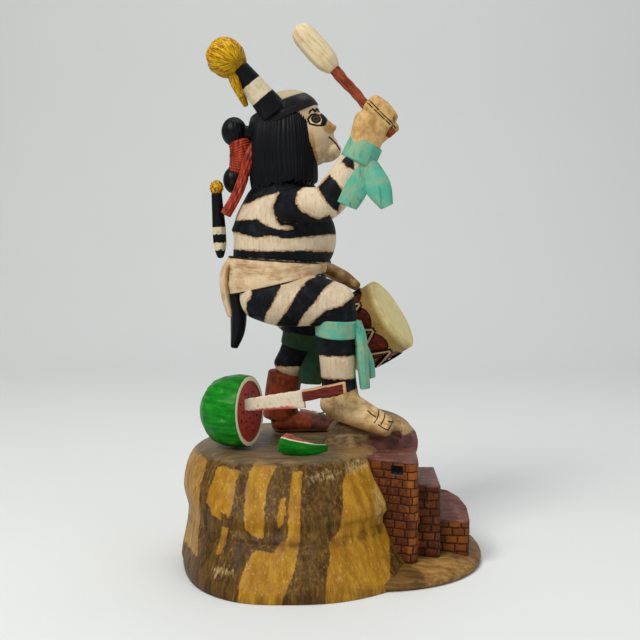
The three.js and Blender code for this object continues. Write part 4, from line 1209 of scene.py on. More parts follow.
class KACHINA_OT_beater(bpy.types.Operator):
    """Beater with its padded head"""

    bl_idname = "kachina.beater"
    bl_label = "Beater"

    def execute(self, context):
        paint = context.scene.kachina_colours

        def crooked(turn, way):
            return 0.18 * np.sin(way * 0.35 + turn) + 0.12 * np.sin(way * 0.9 + 2 * turn)

        r, low, top = BEATER_RADIUS, SHAFT_LENGTH - 1, SHAFT_LENGTH + BEATER_LENGTH
        long = SHAFT_LENGTH
        shaft = dense([(0, 0), (2.5, 0), (2.8, 0.6), (2.6, 20), (2.75, long * 0.6), (3.2, long), (0, long)], 0.8, 1)
        finish = Finish("shaft_paint")
        turn, way = finish.mark("turn"), finish.mark("way")
        grain = finish.noise(1, 4, 0.6, vector=finish.joint(turn.sine() * 3, turn.cosine() * 3, way * 0.12))
        colour = finish.mix(grain.between(0.35, 0.6), tone(92, 36, 20), tuple(paint.shaft))
        colour = finish.mix(finish.noise(3, 3, 0.6).between(0.6, 0.72) * 0.7, colour, tone(196, 118, 76))
        red = carved(finish, colour, 0.42, 0.2, 0.15, 0.2, coat=0.2)
        form = turned(shaft, BEATER_END, -BEATER_AXIS, 48, crooked)
        put("beater_shaft", form, red, "beater_wood", "drum_beater")
        head = dense([
            (0, low), (SHAFT_RADIUS * 1.3, low),
            (r * 0.93, low + BEATER_LENGTH * 0.2), (r, low + BEATER_LENGTH * 0.45),
            (r * 0.95, top - BEATER_LENGTH * 0.22), (r * 0.72, top - BEATER_LENGTH * 0.07), (0, top),
        ], 0.7, 5)

        def flats(turn, way):
            return 0.16 * np.cos(7 * turn + 0.03 * way) + 0.08 * np.sin(11 * turn)

        finish = Finish("beater_paint")
        turn, way = finish.mark("turn"), finish.mark("way")
        grain = finish.noise(1.3, 4, 0.65, vector=finish.joint(turn.sine() * 7, turn.cosine() * 7, way * 0.14))
        colour = finish.mix(grain.between(0.42, 0.68), tone(212, 194, 156), tone(194, 170, 128))
        colour = finish.mix(grain.between(0.62, 0.72) * 0.35, colour, tone(140, 108, 68))
        colour = finish.mix(finish.noise(6, 3).between(0.58, 0.75) * 0.35, colour, tone(170, 130, 82))
        pale = carved(finish, colour, 0.48, 0.08, 0.2, 0.2, coat=0.1)
        form = turned(head, BEATER_END, -BEATER_AXIS, 84, flats)
        put("beater_head", form, pale, "beater_wood", "drum_beater")
        return {"FINISHED"}


# ---------------------------------------------------------------- horns and pendant

FAR_HORN_LIFT = 3.6


PUFF_RADIUS = 11.4


class KACHINA_OT_horns(bpy.types.Operator):
    """Banded horns with their husk tassels"""

    bl_idname = "kachina.horns"
    bl_label = "Horns"

    def execute(self, context):
        paint = context.scene.kachina_colours
        finish = Finish("horn_paint")
        way = finish.mark("way") + (finish.noise(2.5, 2) - 0.5) * 0.9
        cream = way.between(10.6, 10.9) * way.between(21.4, 21.1)
        spots = finish.noise(2.4, 3, 0.6)
        pale = finish.mix(spots.between(0.45, 0.7) * 0.5, tone(204, 192, 160), tone(158, 146, 112))
        dark = finish.mix(finish.noise(5, 3).between(0.55, 0.75) * 0.5, tuple(paint.black), tone(34, 38, 42))
        stripes = carved(finish, finish.mix(cream, dark, pale), 0.48, 0.12, 0.3, 0.3, (1, 1, 1), 0.1)
        finish = Finish("husk_paint")
        turn, way = finish.mark("turn"), finish.mark("way")
        fibre = finish.noise(0.9, 3, 0.65, vector=finish.joint(turn.sine() * 16, turn.cosine() * 16, way * 0.22))
        fleck = finish.noise(1.6, 2, 0.6, vector=finish.joint(turn.sine() * 13, turn.cosine() * 13, way * 0.5))
        colour = finish.mix(fibre.between(0.36, 0.6), tone(128, 76, 4), tuple(paint.husk))
        colour = finish.mix(fleck.between(0.57, 0.68) * 0.5, colour, tone(104, 62, 6))
        colour = finish.mix(fleck.between(0.42, 0.34) * 0.6, colour, tone(232, 196, 44))
        groove = fibre * 0.35 - fleck.between(0.5, 0.66) * 0.3
        straw = carved(finish, colour, 0.5, 0.15, 0.1, 0.1, (1, 1, 1), extra=groove)

        def tuft(turn, way):
            wave = np.sin(turn * 21 + 1.6 * np.sin(way * 0.35 + 0.7) + np.sin(turn * 5))
            return (0.42 * np.abs(wave) ** 0.7 + 0.3 * np.sin(turn * 6 + way * 0.4) - 0.6) * eased(way, 0, 6)

        def strands(turn, way):
            return -0.3 * np.abs(np.cos(turn * 3.5 + 0.2 * way)) ** 3

        for name, side in (("right", -1), ("left", 1)):
            lift = FAR_HORN_LIFT if side > 0 else 0
            foot = [-32.2 - lift * 0.3, 12.4 * side, 194 + lift]
            tip = [-52 - lift * 0.6, 15.3 * side, 218.4 + lift]
            rows = raised([[*foot, 8.6, 8.6], [*tip, 5.6, 5.6]])
            put("horn_" + name + "_bands", limb(rows, 72, 40, 0.2), stripes, "horn_paint", "horn_" + name)
            middle = np.array([-60 - lift * 0.4, 15.6 * side, 295 + lift])
            pole = unit(np.array([0.62, 0.72 * side, -0.32]))
            arc = np.linspace(0, np.pi, 60)
            profile = PUFF_RADIUS * np.stack([np.sin(arc), 1 - np.cos(arc)], -1)
            puff = turned(profile, middle + PUFF_RADIUS * pole, -pole, 220, tuft)
            strand = limb(raised([
                [-56.5, 16.5 * side, 219, 3.4, 3.4], [-54.2, 18.6 * side, 210, 2.2, 3.1],
                [-51, 19.8 * side, 202, 1.7, 1.7],
            ]), 64, 12, relief=strands)
            put("husk_" + name, merged([puff, strand]), straw, "horn_paint", "horn_" + name)
        return {"FINISHED"}


class KACHINA_OT_pendant(bpy.types.Operator):
    """Banded stick that hangs behind the back"""

    bl_idname = "kachina.pendant"
    bl_label = "Back pendant"

    def execute(self, context):
        paint = context.scene.kachina_colours
        top = np.array([-66.8, -5, 218.0])

        def vanes(turn, way):
            return 0.25 * np.cos(5 * turn) * eased(way, 4, 20) - 0.5 * eased(way, 30, 38) * np.abs(np.cos(2.5 * turn))

        profile = dense([(0, 0), (3.1, 0), (3.4, 8), (3.9, 22), (3.8, 31), (2.9, 36), (1.9, 38.6), (0, 38.8)], 0.6, 2)
        finish = Finish("pendant_paint")
        way = finish.mark("way") + (finish.noise(2, 2) - 0.5) * 1.6
        ragged = (finish.noise(1.3, 2, 0.6, (1, 1, 5)) - 0.5) * 5
        upper = way.between(20, 20.4) * way.between(24.7, 24.3)
        lower = (way + ragged * 0.3).between(29.2, 29.7) * (way + ragged).between(34.2, 33.7)
        pale = upper.most(lower)
        fibre = finish.noise(1.1, 3, 0.6, (1, 1, 8))
        colour = finish.mix(pale, tuple(paint.black), tone(206, 192, 160))
        colour = finish.mix(fibre.between(0.55, 0.7) * pale * 0.6, colour, tone(90, 66, 44))
        material = carved(finish, colour, 0.5, 0.18, 0.2, 0.15)
        rod = turned(profile, top, (0.05, 0.02, -1), 64, vanes)
        put("pendant_rod", rod, material, "pendant_paint", "back_pendant")

        def wound(turn, latitude):
            return -0.3 * np.abs(np.cos(latitude * 7 + np.sin(turn))) ** 3

        knot = ball(top + [0, 0, 2.9], [4.2, 4.2, 4.5], 0, 72, wound)
        finish = Finish("knot_paint")
        fleck = finish.noise(1.3, 3, 0.6)
        colour = finish.mix(fleck.between(0.4, 0.6), tuple(paint.husk), tone(120, 66, 10))
        cord = carved(finish, colour, 0.5, 0.2, 0.1, 0.1)
        put("pendant_knot", knot, cord, "pendant_paint", "back_pendant")
        return {"FINISHED"}


# ---------------------------------------------------------------- melon, slices and knife

MELON_CENTRE = np.array([-46, -30, 91.72])
MELON_AXIS = unit(np.array([-0.935, 0.34, -0.04]))
MELON_RADIUS, MELON_LENGTH = 21.0, 29.0


def rind_and_flesh(finish, inside, rim, paint):
    """Green rind with knife strokes, a cream rim and red flesh, by how deep the surface lies."""
    stroke = finish.noise(2.4, 4, 0.6, (4, 4, 1), 0.3)
    broad = finish.noise(12, 2)
    green = finish.mix(stroke.between(0.35, 0.62), tone(4, 96, 12), tuple(paint.rind))
    green = finish.mix(stroke.between(0.56, 0.74) * broad.between(0.4, 0.6) * 0.7, green, tone(92, 150, 48))
    green = finish.mix(broad.between(0.5, 0.3) * 0.4, green, tone(2, 66, 8))
    pulp = finish.mix(finish.noise(2.2, 4, 0.7).between(0.4, 0.65), tuple(paint.flesh), tone(128, 38, 30))
    colour = finish.mix(rim, green, tone(228, 214, 176))
    return finish.mix(inside, colour, pulp), stroke


class KACHINA_OT_melon(bpy.types.Operator):
    """Half watermelon with seeds in its cut face"""

    bl_idname = "kachina.melon"
    bl_label = "Watermelon half"

    def execute(self, context):
        sizes, paint = context.scene.kachina_sizes, context.scene.kachina_colours
        r, deep = MELON_RADIUS, MELON_LENGTH
        profile = dense([
            (0, 0.7), (r * 0.8, 0.7), (r * 0.83, 0.05), (r * 0.955, 0), (r * 0.985, 0.7), (r, deep * 0.25),
            (r * 0.96, deep * 0.52), (r * 0.82, deep * 0.76), (r * 0.5, deep * 0.94), (0, deep),
        ], 0.45, 3)

        def strokes(turn, way):
            cut = 0.22 * np.cos(9 * turn + 0.12 * way) + 0.14 * np.sin(14 * turn - 0.2 * way)
            return cut * eased(way, 2, 6) * eased(deep - way, 0.5, 8)

        finish = Finish("melon_paint")
        way, spread = finish.mark("way"), finish.mark("spread") + (finish.noise(3, 2) - 0.5) * 0.5
        face = way.between(1.3, 0.9)
        rim = face * spread.between(r * 0.965, r * 0.95)
        inside = face * spread.between(r * 0.835, r * 0.815)
        colour, stroke = rind_and_flesh(finish, inside, rim, paint)
        line = face * abs(spread - r * 0.825).between(0.5, 0.25) * 0.7
        colour = finish.mix(line, colour, tone(46, 16, 12))
        material = carved(finish, colour, 0.4, 0.1, 0.15, 0.2, (3, 3, 1), 0.15, extra=stroke * 0.3)
        form = turned(profile, MELON_CENTRE, MELON_AXIS, 200, strokes)
        put("melon", form, material, "melon_paint", "watermelon_half")
        random = np.random.default_rng(11)
        axis, first, second = frame_of(MELON_AXIS)
        seeds = []
        for i in range(sizes.seeds):
            turn = 2.39996 * i + random.uniform(-0.2, 0.2)
            out = r * np.sqrt(0.02 + 0.4 * (i + 0.5) / sizes.seeds)
            middle = MELON_CENTRE + axis * 0.55 + (np.cos(turn) * first + np.sin(turn) * second) * out
            seeds.append(ball(middle, [0.4, 0.4, 0.65], 0, 10))
        finish = Finish("seed_paint")
        dark = carved(finish, tone(38, 18, 14), 0.35, 0.3, 0.1, 0.1)
        put("melon_seeds", merged(seeds), dark, "melon_paint", "watermelon_half")
        return {"FINISHED"}


def slice_form(length, place, tilt, turn):
    """A bitten slice: a wedge of an ellipsoid. Along it the outer radius is R * sqrt(1 - x^2 / l^2); round
    it, each ring goes down the rind by angle, in along the lower cut, up the bitten inner side and out
    along the upper cut. Then it is rolled, tilted, turned and set on the mesa."""
    inner, wedge, r = 9.0, np.radians(25), MELON_RADIUS
    x = length * np.sqrt(1 - (inner / r) ** 2) * np.sin(np.linspace(0, np.pi / 2, 60))[:, None]
    x = x * 0.999
    k = 14
    up = np.linspace(0, 1, k, endpoint=False)
    angle = np.concatenate([up * wedge, np.full(k, wedge), (1 - up) * wedge, np.zeros(k)])[None, :]
    share = np.concatenate([np.ones(k), 1 - up, np.zeros(k), up])[None, :]
    outer = r * np.sqrt(1 - (x / length) ** 2)
    bite = inner + 0.32 * x + 0.5 * np.sin(x * 1.3) + 0.35 * np.sin(x * 2.9 + 1)
    start = np.minimum(bite, outer - 0.05 - 1.3 * (x < 0.85 * length))
    reach = start + (outer - start) * share
    points = np.stack([x + 0 * reach, -reach * np.cos(angle), -reach * np.sin(angle)], -1)
    deep = outer - reach
    marks = {"deep": deep + 0 * angle, "angle": angle + 0 * deep}
    form = skin(points, points[0].mean(axis=0), points[-1].mean(axis=0), marks)
    a, b, c = np.radians(4), np.radians(tilt), np.radians(turn)
    px, py, pz = form.points.T
    py, pz = py * np.cos(a) - pz * np.sin(a), py * np.sin(a) + pz * np.cos(a)
    px, pz = px * np.cos(b) + pz * np.sin(b), pz * np.cos(b) - px * np.sin(b)
    px, py = px * np.cos(c) - py * np.sin(c), px * np.sin(c) + py * np.cos(c)
    form.points = np.stack([
        px + place[0] - (px.min() + px.max()) / 2,
        py + place[1] - (py.min() + py.max()) / 2,
        pz - pz.min() + MESA_TOP + 0.3,
    ], -1)
    return form


class KACHINA_OT_slices(bpy.types.Operator):
    """Bitten melon slices lying on the mesa"""

    bl_idname = "kachina.slices"
    bl_label = "Melon slices"

    def execute(self, context):
        paint = context.scene.kachina_colours
        finish = Finish("slice_paint")
        deep = finish.mark("deep") + (finish.noise(2, 3) - 0.5) * 1.2
        rim, inside = deep.between(0.5, 0.8), deep.between(2.4, 2.9)
        colour, stroke = rind_and_flesh(finish, inside, rim, paint)
        dull = inside * finish.noise(3, 3, 0.6).between(0.62, 0.45) * 0.85
        colour = finish.mix(dull, colour, tone(146, 100, 84))
        material = carved(finish, colour, 0.42, 0.1, 0.15, 0.15, (3, 3, 1), 0.1, extra=stroke * 0.2)
        put("slice_near", slice_form(28, (-15, -47.5), 13, -16), material, "melon_paint", "melon_slice_near")
        put("slice_far", slice_form(18, (-11, 43), 8, 10), material, "melon_paint", "melon_slice_far")
        return {"FINISHED"}


BLADE_START = np.array([-58, -34, 95.0])


def slab(rows, power=5.0, sides=64):
    """A flat bar in the knife's own plane. Each row is a place along it, the middle's height, half its
    height and half its thickness; the section is a squared ellipse. The knife rises by 6 degrees."""
    rows = np.asarray(rows, float)
    turn = np.linspace(0, 2 * np.pi, sides, endpoint=False)[None, :]
    along = rows[:, :1]
    high = rows[:, 1:2] + rows[:, 2:3] * squared(np.sin(turn), power)
    thick = rows[:, 3:4] * squared(np.cos(turn), power)
    rise = np.radians(6)
    local = np.stack([
        along * np.cos(rise) - high * np.sin(rise), -thick + 0 * along, along * np.sin(rise) + high * np.cos(rise),
    ], -1) + BLADE_START
    marks = {"high": high - rows[:, 1:2], "along": along + 0 * turn}
    return skin(local, local[0].mean(axis=0), local[-1].mean(axis=0), marks)


class KACHINA_OT_knife(bpy.types.Operator):
    """Knife stuck in the melon"""

    bl_idname = "kachina.knife"
    bl_label = "Knife"

    def execute(self, context):
        paint = context.scene.kachina_colours
        u = np.linspace(0, 44, 70)
        notch = 0.15 * np.sin(u * 1.1) + 0.1 * np.sin(u * 2.7)
        half = 3 + (5.3 - 3) * u / 44 + notch * 0.5
        blade = np.stack([u, notch * 0.3, half, np.full_like(u, 1.1)], -1)
        finish = Finish("blade_paint")
        high, along = finish.mark("high"), finish.mark("along")
        patches = finish.noise(2.6, 4, 0.7)
        smear = (high + 3.2 + (finish.noise(2.2, 3, 0.7) - 0.5) * 5).between(0.8, -0.4) * along.between(42, 34)
        smear = smear.most(patches.between(0.6, 0.68) * along.between(30, 14) * 0.7)
        colour = finish.mix(patches.between(0.45, 0.7) * 0.5, tone(214, 200, 176), tone(178, 156, 124))
        colour = finish.mix(smear * 0.9, colour, tone(182, 52, 60))
        colour = finish.mix(along.between(42.8, 43.4) * 0.8, colour, tone(150, 108, 60))
        put("knife_blade", slab(blade, 6), carved(finish, colour, 0.45, 0.08, 0.25, 0.2), "knife_wood", "knife")
        v = np.linspace(42.6, 68, 50)
        middle = 3.0 + (v - 55.5) * np.tan(np.radians(5))
        round_ = 1 - 0.1 * np.exp(-(((v - 42.6) / 0.5) ** 2)) - 0.1 * np.exp(-(((v - 68) / 0.5) ** 2))
        bow = 0.12 * np.sin(v * 0.5)
        handle = np.stack([v, middle + bow, 3.3 * round_, 2.5 * round_], -1)
        finish = Finish("handle_paint")
        high, along = finish.mark("high"), finish.mark("along")
        grain = finish.noise(1.4, 4, 0.65, (6, 1, 1), 0.3)
        pale_marks = (high - 2.2 + (grain - 0.5) * 1.2).between(0.1, 0.5).most((along - 66 + grain).between(0.5, 0.9))
        colour = finish.mix(grain.between(0.35, 0.62), tone(70, 22, 18), tuple(paint.handle))
        colour = finish.mix(pale_marks * 0.85, colour, tone(204, 162, 112))
        brown = carved(finish, colour, 0.42, 0.2, 0.2, 0.15, (6, 1, 1), 0.15)
        put("knife_handle", slab(handle, 5), brown, "knife_wood", "knife")
        return {"FINISHED"}


# ---------------------------------------------------------------- mesa and rooms

MESA_LENGTH, MESA_DEPTH = 183.0, 170.0
MESA_LEVELS = np.array([
    [100, -20, 3, -12, 14], [100, -36, 12, -29, 29], [98, -41.5, 14.8, -34, 32.5], [91, -44.8, 17, -36.8, 34],
    [80, -46.3, 19, -39, 35], [66, -46.8, 22, -42.5, 36.5], [55, -46, 23, -45, 37.5], [47, -45.3, 21, -45.6, 38],
    [30, -46, 23, -50, 39.5], [9, -47.4, 29, -54.6, 41.5], [0, -47, 30.5, -55.6, 41],
])


# Outlines of the golden and the worn places of the mesa, seen from the front, in millimetres.
STRIPES = [
    [
        (-63, 64.4), (-58.5, 65.1), (-49.9, 63.1), (-52, 56.4), (-53.4, 46.4), (-55.1, 40), (-60.5, 43.3),
        (-58.8, 37.6), (-65.7, 39.6), (-66.2, 43), (-69, 45), (-68.1, 50.4), (-65.4, 57.1),
    ],
    [(-59.5, 35.4), (-55.4, 34.6), (-57, 27.3), (-59.7, 21.6), (-62.6, 20.3), (-60, 28.6)],
    [
        (-42.4, 67.6), (-36.2, 68.3), (-29.6, 66.3), (-31.4, 62.7), (-34.3, 56.4), (-35.5, 43.7), (-36.4, 29.9),
        (-41.3, 31.2), (-46.7, 35.4), (-47.3, 43.7), (-46.5, 53.1), (-44.9, 63.4),
    ],
    [
        (-40.4, 25.4), (-30.6, 23.8), (-26.2, 29.3), (-16.5, 31.2), (-17.9, 21.6), (-19.3, 15.8), (-23.6, 6.8),
        (-26.6, -3), (-48.6, -3), (-49.5, 8.7), (-46.8, 15.1), (-43.3, 21.6),
    ],
    [(-27.7, 50.4), (-24.7, 51), (-24.2, 43.7), (-25.6, 38.3), (-28.6, 35.4), (-29, 41)],
    [
        (-20.6, 64.4), (-15.6, 63.8), (-16.3, 50.4), (-16.5, 31.2), (-18.7, 24.8), (-24, 27.3), (-23.3, 38.3),
        (-22.7, 46.4), (-21.7, 56.4),
    ],
    [
        (9, 60.7), (15, 63), (24.2, 66), (50, 66), (60, 35), (36.9, 28.6), (33.2, 18.3), (32.6, -3), (-3, -3),
        (-2.3, 11.9), (0, 21.6), (-0.7, 27.3), (5.4, 34.6), (6.9, 45), (6.3, 56.4),
    ],
    [
        (-100, 68.6), (-74.9, 68.4), (-69.8, 65.4), (-72.4, 56.4), (-74, 45), (-72.8, 34.6), (-73.8, 24.8),
        (-73.8, 15.1), (-100, 14.5),
    ],
]
WORN = [
    [(8, 66.7), (15, 69), (24.2, 66), (21, 58), (15, 60), (9, 59)],
    [(-14, 62), (-2, 64), (6, 62), (2, 58), (-12, 57)],
    [(24, 60), (31, 46), (33, 34), (27, 30), (22, 42)],
    [(2, 12), (14, 17), (13, 14.5), (4, 9)],
    [(-64, 14), (-52, 18), (-50, 14), (-62, 9)],
]


def mesa_form():
    """The mesa: rings from top to underside. A ring goes from its left to its right and from its front
    to its back by a squared cosine and sine, rippled by sines of the turn; upright knife cuts and a
    crease across the front are shallow sines and a narrow bell curve on the radius."""
    sides = 440
    count = len(MESA_LEVELS)
    level = smooth_rows(MESA_LEVELS, np.linspace(0, count - 1, (count - 1) * 14 + 1))
    inner = np.linspace(0.08, 1, 10, endpoint=False)[:, None]
    centre = np.array([-0.15 * MESA_LENGTH, -0.05 * MESA_DEPTH])
    reach = np.abs(level[:, 1:] / 100 * [MESA_LENGTH, MESA_LENGTH, MESA_DEPTH, MESA_DEPTH] - centre[[0, 0, 1, 1]])
    high = level[:, :1] / 100 * MESA_TOP
    high = np.concatenate([np.full((10, 1), MESA_TOP), np.minimum(high, MESA_TOP), np.zeros((10, 1))])
    reach = np.concatenate([reach[:1] * inner, reach, reach[-1:] * inner[::-1]])
    turn = np.linspace(0, 2 * np.pi, sides, endpoint=False)[None, :]
    across, deep = squared(-np.cos(turn), 2.25), squared(np.sin(turn), 2.25)
    hundred = high / MESA_TOP * 100
    wave = np.sin(7 * turn + 0.8) + 0.7 * np.sin(11 * turn + hundred * 0.03)
    wall = eased(hundred, 6, 12) * eased(hundred, 99.5, 97)
    ripple = wave * (0.22 + 0.88 * wall)
    cuts = 0.3 * np.sin(31 * turn + 2.5 * np.sin(high * 0.09))
    cuts = cuts + 0.22 * np.sin(57 * turn + 2 * np.sin(high * 0.13 + 1))
    crease = -1.0 * np.exp(-(((high - 29 - 2 * np.sin(3 * turn)) / 1.1) ** 2)) * eased(np.sin(turn), 0.2, 0.6)
    out = 1 + (ripple + wall * (cuts + crease)) / (MESA_DEPTH / 2)
    x = centre[0] + np.where(across < 0, reach[:, :1], reach[:, 1:2]) * across * out
    y = centre[1] - np.where(deep > 0, reach[:, 2:3], reach[:, 3:4]) * deep * out
    rings = np.stack([x, y, high + 0 * x], -1)
    seen = np.where(y < centre[1], x, 2 * centre[0] - x - 9)
    gold = np.max([outline_depth(seen, rings[..., 2], shape) for shape in STRIPES], axis=0)
    wear = np.max([outline_depth(seen, rings[..., 2], shape) for shape in WORN], axis=0)
    return skin(rings, [*centre, MESA_TOP], [*centre, 0], {"gold": gold, "wear": wear})


def mesa_finish(paint):
    finish = Finish("mesa_paint")
    x, _, z = finish.axes()
    streak = finish.noise(1.5, 4, 0.7, (1, 1, 26))
    fine = finish.noise(0.8, 3, 0.7, (1, 1, 30))
    broad = finish.noise(5, 4, 0.6, (1, 1, 8))
    knots = finish.noise(11, 3, 0.6, (1, 1, 1.6))
    edge = finish.mark("gold") + (streak - 0.5) * 2.4 + (broad - 0.5) * 3.5
    stripe = edge.between(-0.3, 0.5)
    half = edge.between(-9, -0.5) * streak.between(0.54, 0.66) * 0.35
    dark = finish.mix(streak.between(0.36, 0.62), tuple(paint.rock_dark), tone(102, 74, 28))
    dark = finish.mix(broad.between(0.48, 0.62) * 0.7, dark, tone(50, 31, 12))
    dark = finish.mix(fine.between(0.56, 0.7) * knots.between(0.4, 0.6) * 0.5, dark, tone(128, 96, 42))
    gold = finish.mix(broad.between(0.35, 0.62), tuple(paint.rock_gold), tone(150, 102, 22))
    gold = finish.mix(streak.between(0.56, 0.72) * 0.8, gold, tone(206, 166, 84))
    gold = finish.mix(fine.between(0.57, 0.68) * 0.6, gold, tone(112, 72, 18))
    left = x.between(-66, -78) * 0.75
    gold = finish.mix(left, gold, finish.mix(streak.between(0.4, 0.65), tone(128, 94, 48), tone(178, 140, 80)))
    side = finish.mix(stripe.most(half), dark, gold)
    rub = (finish.mark("wear") + (streak - 0.5) * 7 + (knots - 0.5) * 6).between(-0.5, 3)
    side = finish.mix(rub * finish.noise(1.6, 4, 0.7, (1, 1, 3)).between(0.35, 0.65) * 0.7, side, tone(196, 166, 112))
    shade = (abs(z - 28 - (knots - 0.5) * 6).between(3.5, 0.5) * 0.45).most(z.between(9, 1) * 0.35)
    side = finish.mix(shade * broad.between(0.3, 0.6), side, tone(52, 32, 14))
    along = finish.noise(1.9, 5, 0.7, (9, 1.4, 1.4), 0.3)
    top = finish.mix(along.between(0.35, 0.66), tone(88, 70, 48), tuple(paint.rock))
    top = finish.mix(finish.noise(18, 2).between(0.42, 0.62) * 0.6, top, tone(92, 84, 60))
    top = finish.mix((x + (along - 0.5) * 14).between(2, 14) * 0.6, top, tone(150, 112, 68))
    top = finish.mix(finish.noise(2.4, 4, 0.7, (7, 1, 1)).between(0.6, 0.72) * 0.6, top, tone(58, 44, 32))
    up = (z + (finish.noise(7, 3) - 0.5) * 4 + (streak - 0.5) * 3).between(65.5, 68)
    colour = finish.mix(up, side, top)
    scratch = finish.noise(2.6, 4, 0.75, (1, 1, 9)).between(0.64, 0.74) * 0.3
    colour = finish.mix(scratch, colour, tone(204, 178, 130))
    return carved(finish, colour, 0.42, 0.16, 0.3, 0.35, (1, 1, 16), 0.2, extra=streak * 0.5 + broad * 0.4)


def ground_form(grid):
    """The ridge under the foot, the shoulder behind it and the low ground round the rooms."""
    ledge = MESA_TOP - 3
    ridge = limb([
        [1, -9, ledge - 8, 7, 10.5], [9, -11, ledge - 3, 14, 16.5], [17, -3, ledge, 20, 18.6],
        [30, 6, ledge - 1, 27, 19.4], [38.6, 10, ledge - 7, 25, 20],
    ], 72, 10, 0.32, 2.4)
    ramp = limb([[-12, -12, 57.5, 12, 10], [4, -12.5, 59.5, 16, 12], [14, -12, 62, 19, 16]], 72, 10, 0.5, 2.4)
    shoulder = limb([[20, 22, 0, 42, 33], [19, 20, 35, 38, 32], [17, 18, 66, 34, 31.5]], 96, 14, 0.02, 2.6)
    apron = limb([
        [19.5, -1, 0, 74, 71.5], [19.5, -1, 3.6, 74, 72], [19.5, -1, 6.75, 66, 67], [19.5, -1, 9, 52, 58],
    ], 120, 4, 0.01, 2.2)
    form = remeshed([ridge, ramp, shoulder, apron], grid, 5)
    x, y, z = form.points.T
    lump = 0.25 * np.sin(x * 0.31 + np.sin(y * 0.2)) + 0.2 * np.sin(y * 0.43 + 1.3 * np.sin(z * 0.25))
    z = np.where(z > 2, z + lump * eased(z, 2, 8), z)
    footprint = (np.abs(x - 15) < 28) & (np.abs(y + 17) < 17)
    z = np.where(footprint, np.minimum(z, sole_height(x) - 0.3), z)
    form.points = np.stack([x, y, np.maximum(z, 0)], -1)
    return form


def ground_finish(paint):
    finish = Finish("ground_paint")
    x, y, z = finish.axes()
    grain = finish.noise(2.2, 5, 0.7, (6, 1.2, 1), 0.3)
    patches = finish.noise(10, 4, 0.6)
    bare = finish.mix(grain.between(0.35, 0.65), tone(82, 62, 42), tone(138, 110, 74))
    knob = finish.mix(grain.between(0.35, 0.62), tone(146, 112, 66), tone(186, 156, 108))
    rock = finish.mix((x + (patches - 0.5) * 10).between(24, 34), bare, knob)
    # Painted shadow: the ground just under the foot's sole is painted dark brown.
    below = z - MESA_TOP - SOLE[1] - (x - SOLE[0]) * SOLE[2] + (grain - 0.5) * 3
    foot_shadow = below.between(-5.5, -1.5) * (y + 28).between(4, -2)
    rock = finish.mix(foot_shadow * x.between(42, 34) * 0.75, rock, tone(50, 34, 24))
    roofed = finish.mix(patches.between(0.4, 0.65), tuple(paint.roof), tone(74, 44, 38))
    low = (z + (patches - 0.5) * 3).between(75.5, 74) * (x + (patches - 0.5) * 3).between(21.5, 23)
    colour = finish.mix(low, rock, roofed)
    sand = finish.mix(grain.between(0.35, 0.65), tone(122, 86, 40), tone(164, 128, 72))
    sand = finish.mix(finish.noise(7, 3).between(0.5, 0.68) * 0.6, sand, tone(92, 60, 34))
    warm = (y + 56 - (patches - 0.5) * 8).between(6, -4) * x.between(62, 40)
    sand = finish.mix(warm * 0.6, sand, tone(150, 92, 30))
    # Painted shade: the low ground is painted darker purple-brown towards the foot of the walls.
    sand = finish.mix((y + 36 + (patches - 0.5) * 10).between(-12, 4) * 0.45, sand, tone(88, 52, 36))
    shaded = (54 - (y + 65) * 0.5 - x + (patches - 0.5) * 8).between(0, 4) * (y + 30).between(0, -6)
    sand = finish.mix(shaded * 0.85, sand, finish.mix(grain.between(0.35, 0.65), tone(66, 46, 20), tone(110, 82, 38)))
    colour = finish.mix(z.between(16, 12), colour, sand)
    return carved(finish, colour, 0.5, 0.16, 0.3, 0.4, (3, 1, 1), 0.1, extra=grain * 0.4)


def brick_edge(s, z, long, high):
    """Distance to the nearest joint between bricks: rows of one height, each shifted along the last by
    about half a brick, with the nearest end or side of the brick that a point is in."""
    row = np.floor(z / high)
    u = (s / long + 0.5 * row + 0.19 * np.sin(row * 2.3)) % 1
    v = (z / high) % 1
    return np.minimum(np.minimum(u, 1 - u) * long, np.minimum(v, 1 - v) * high)


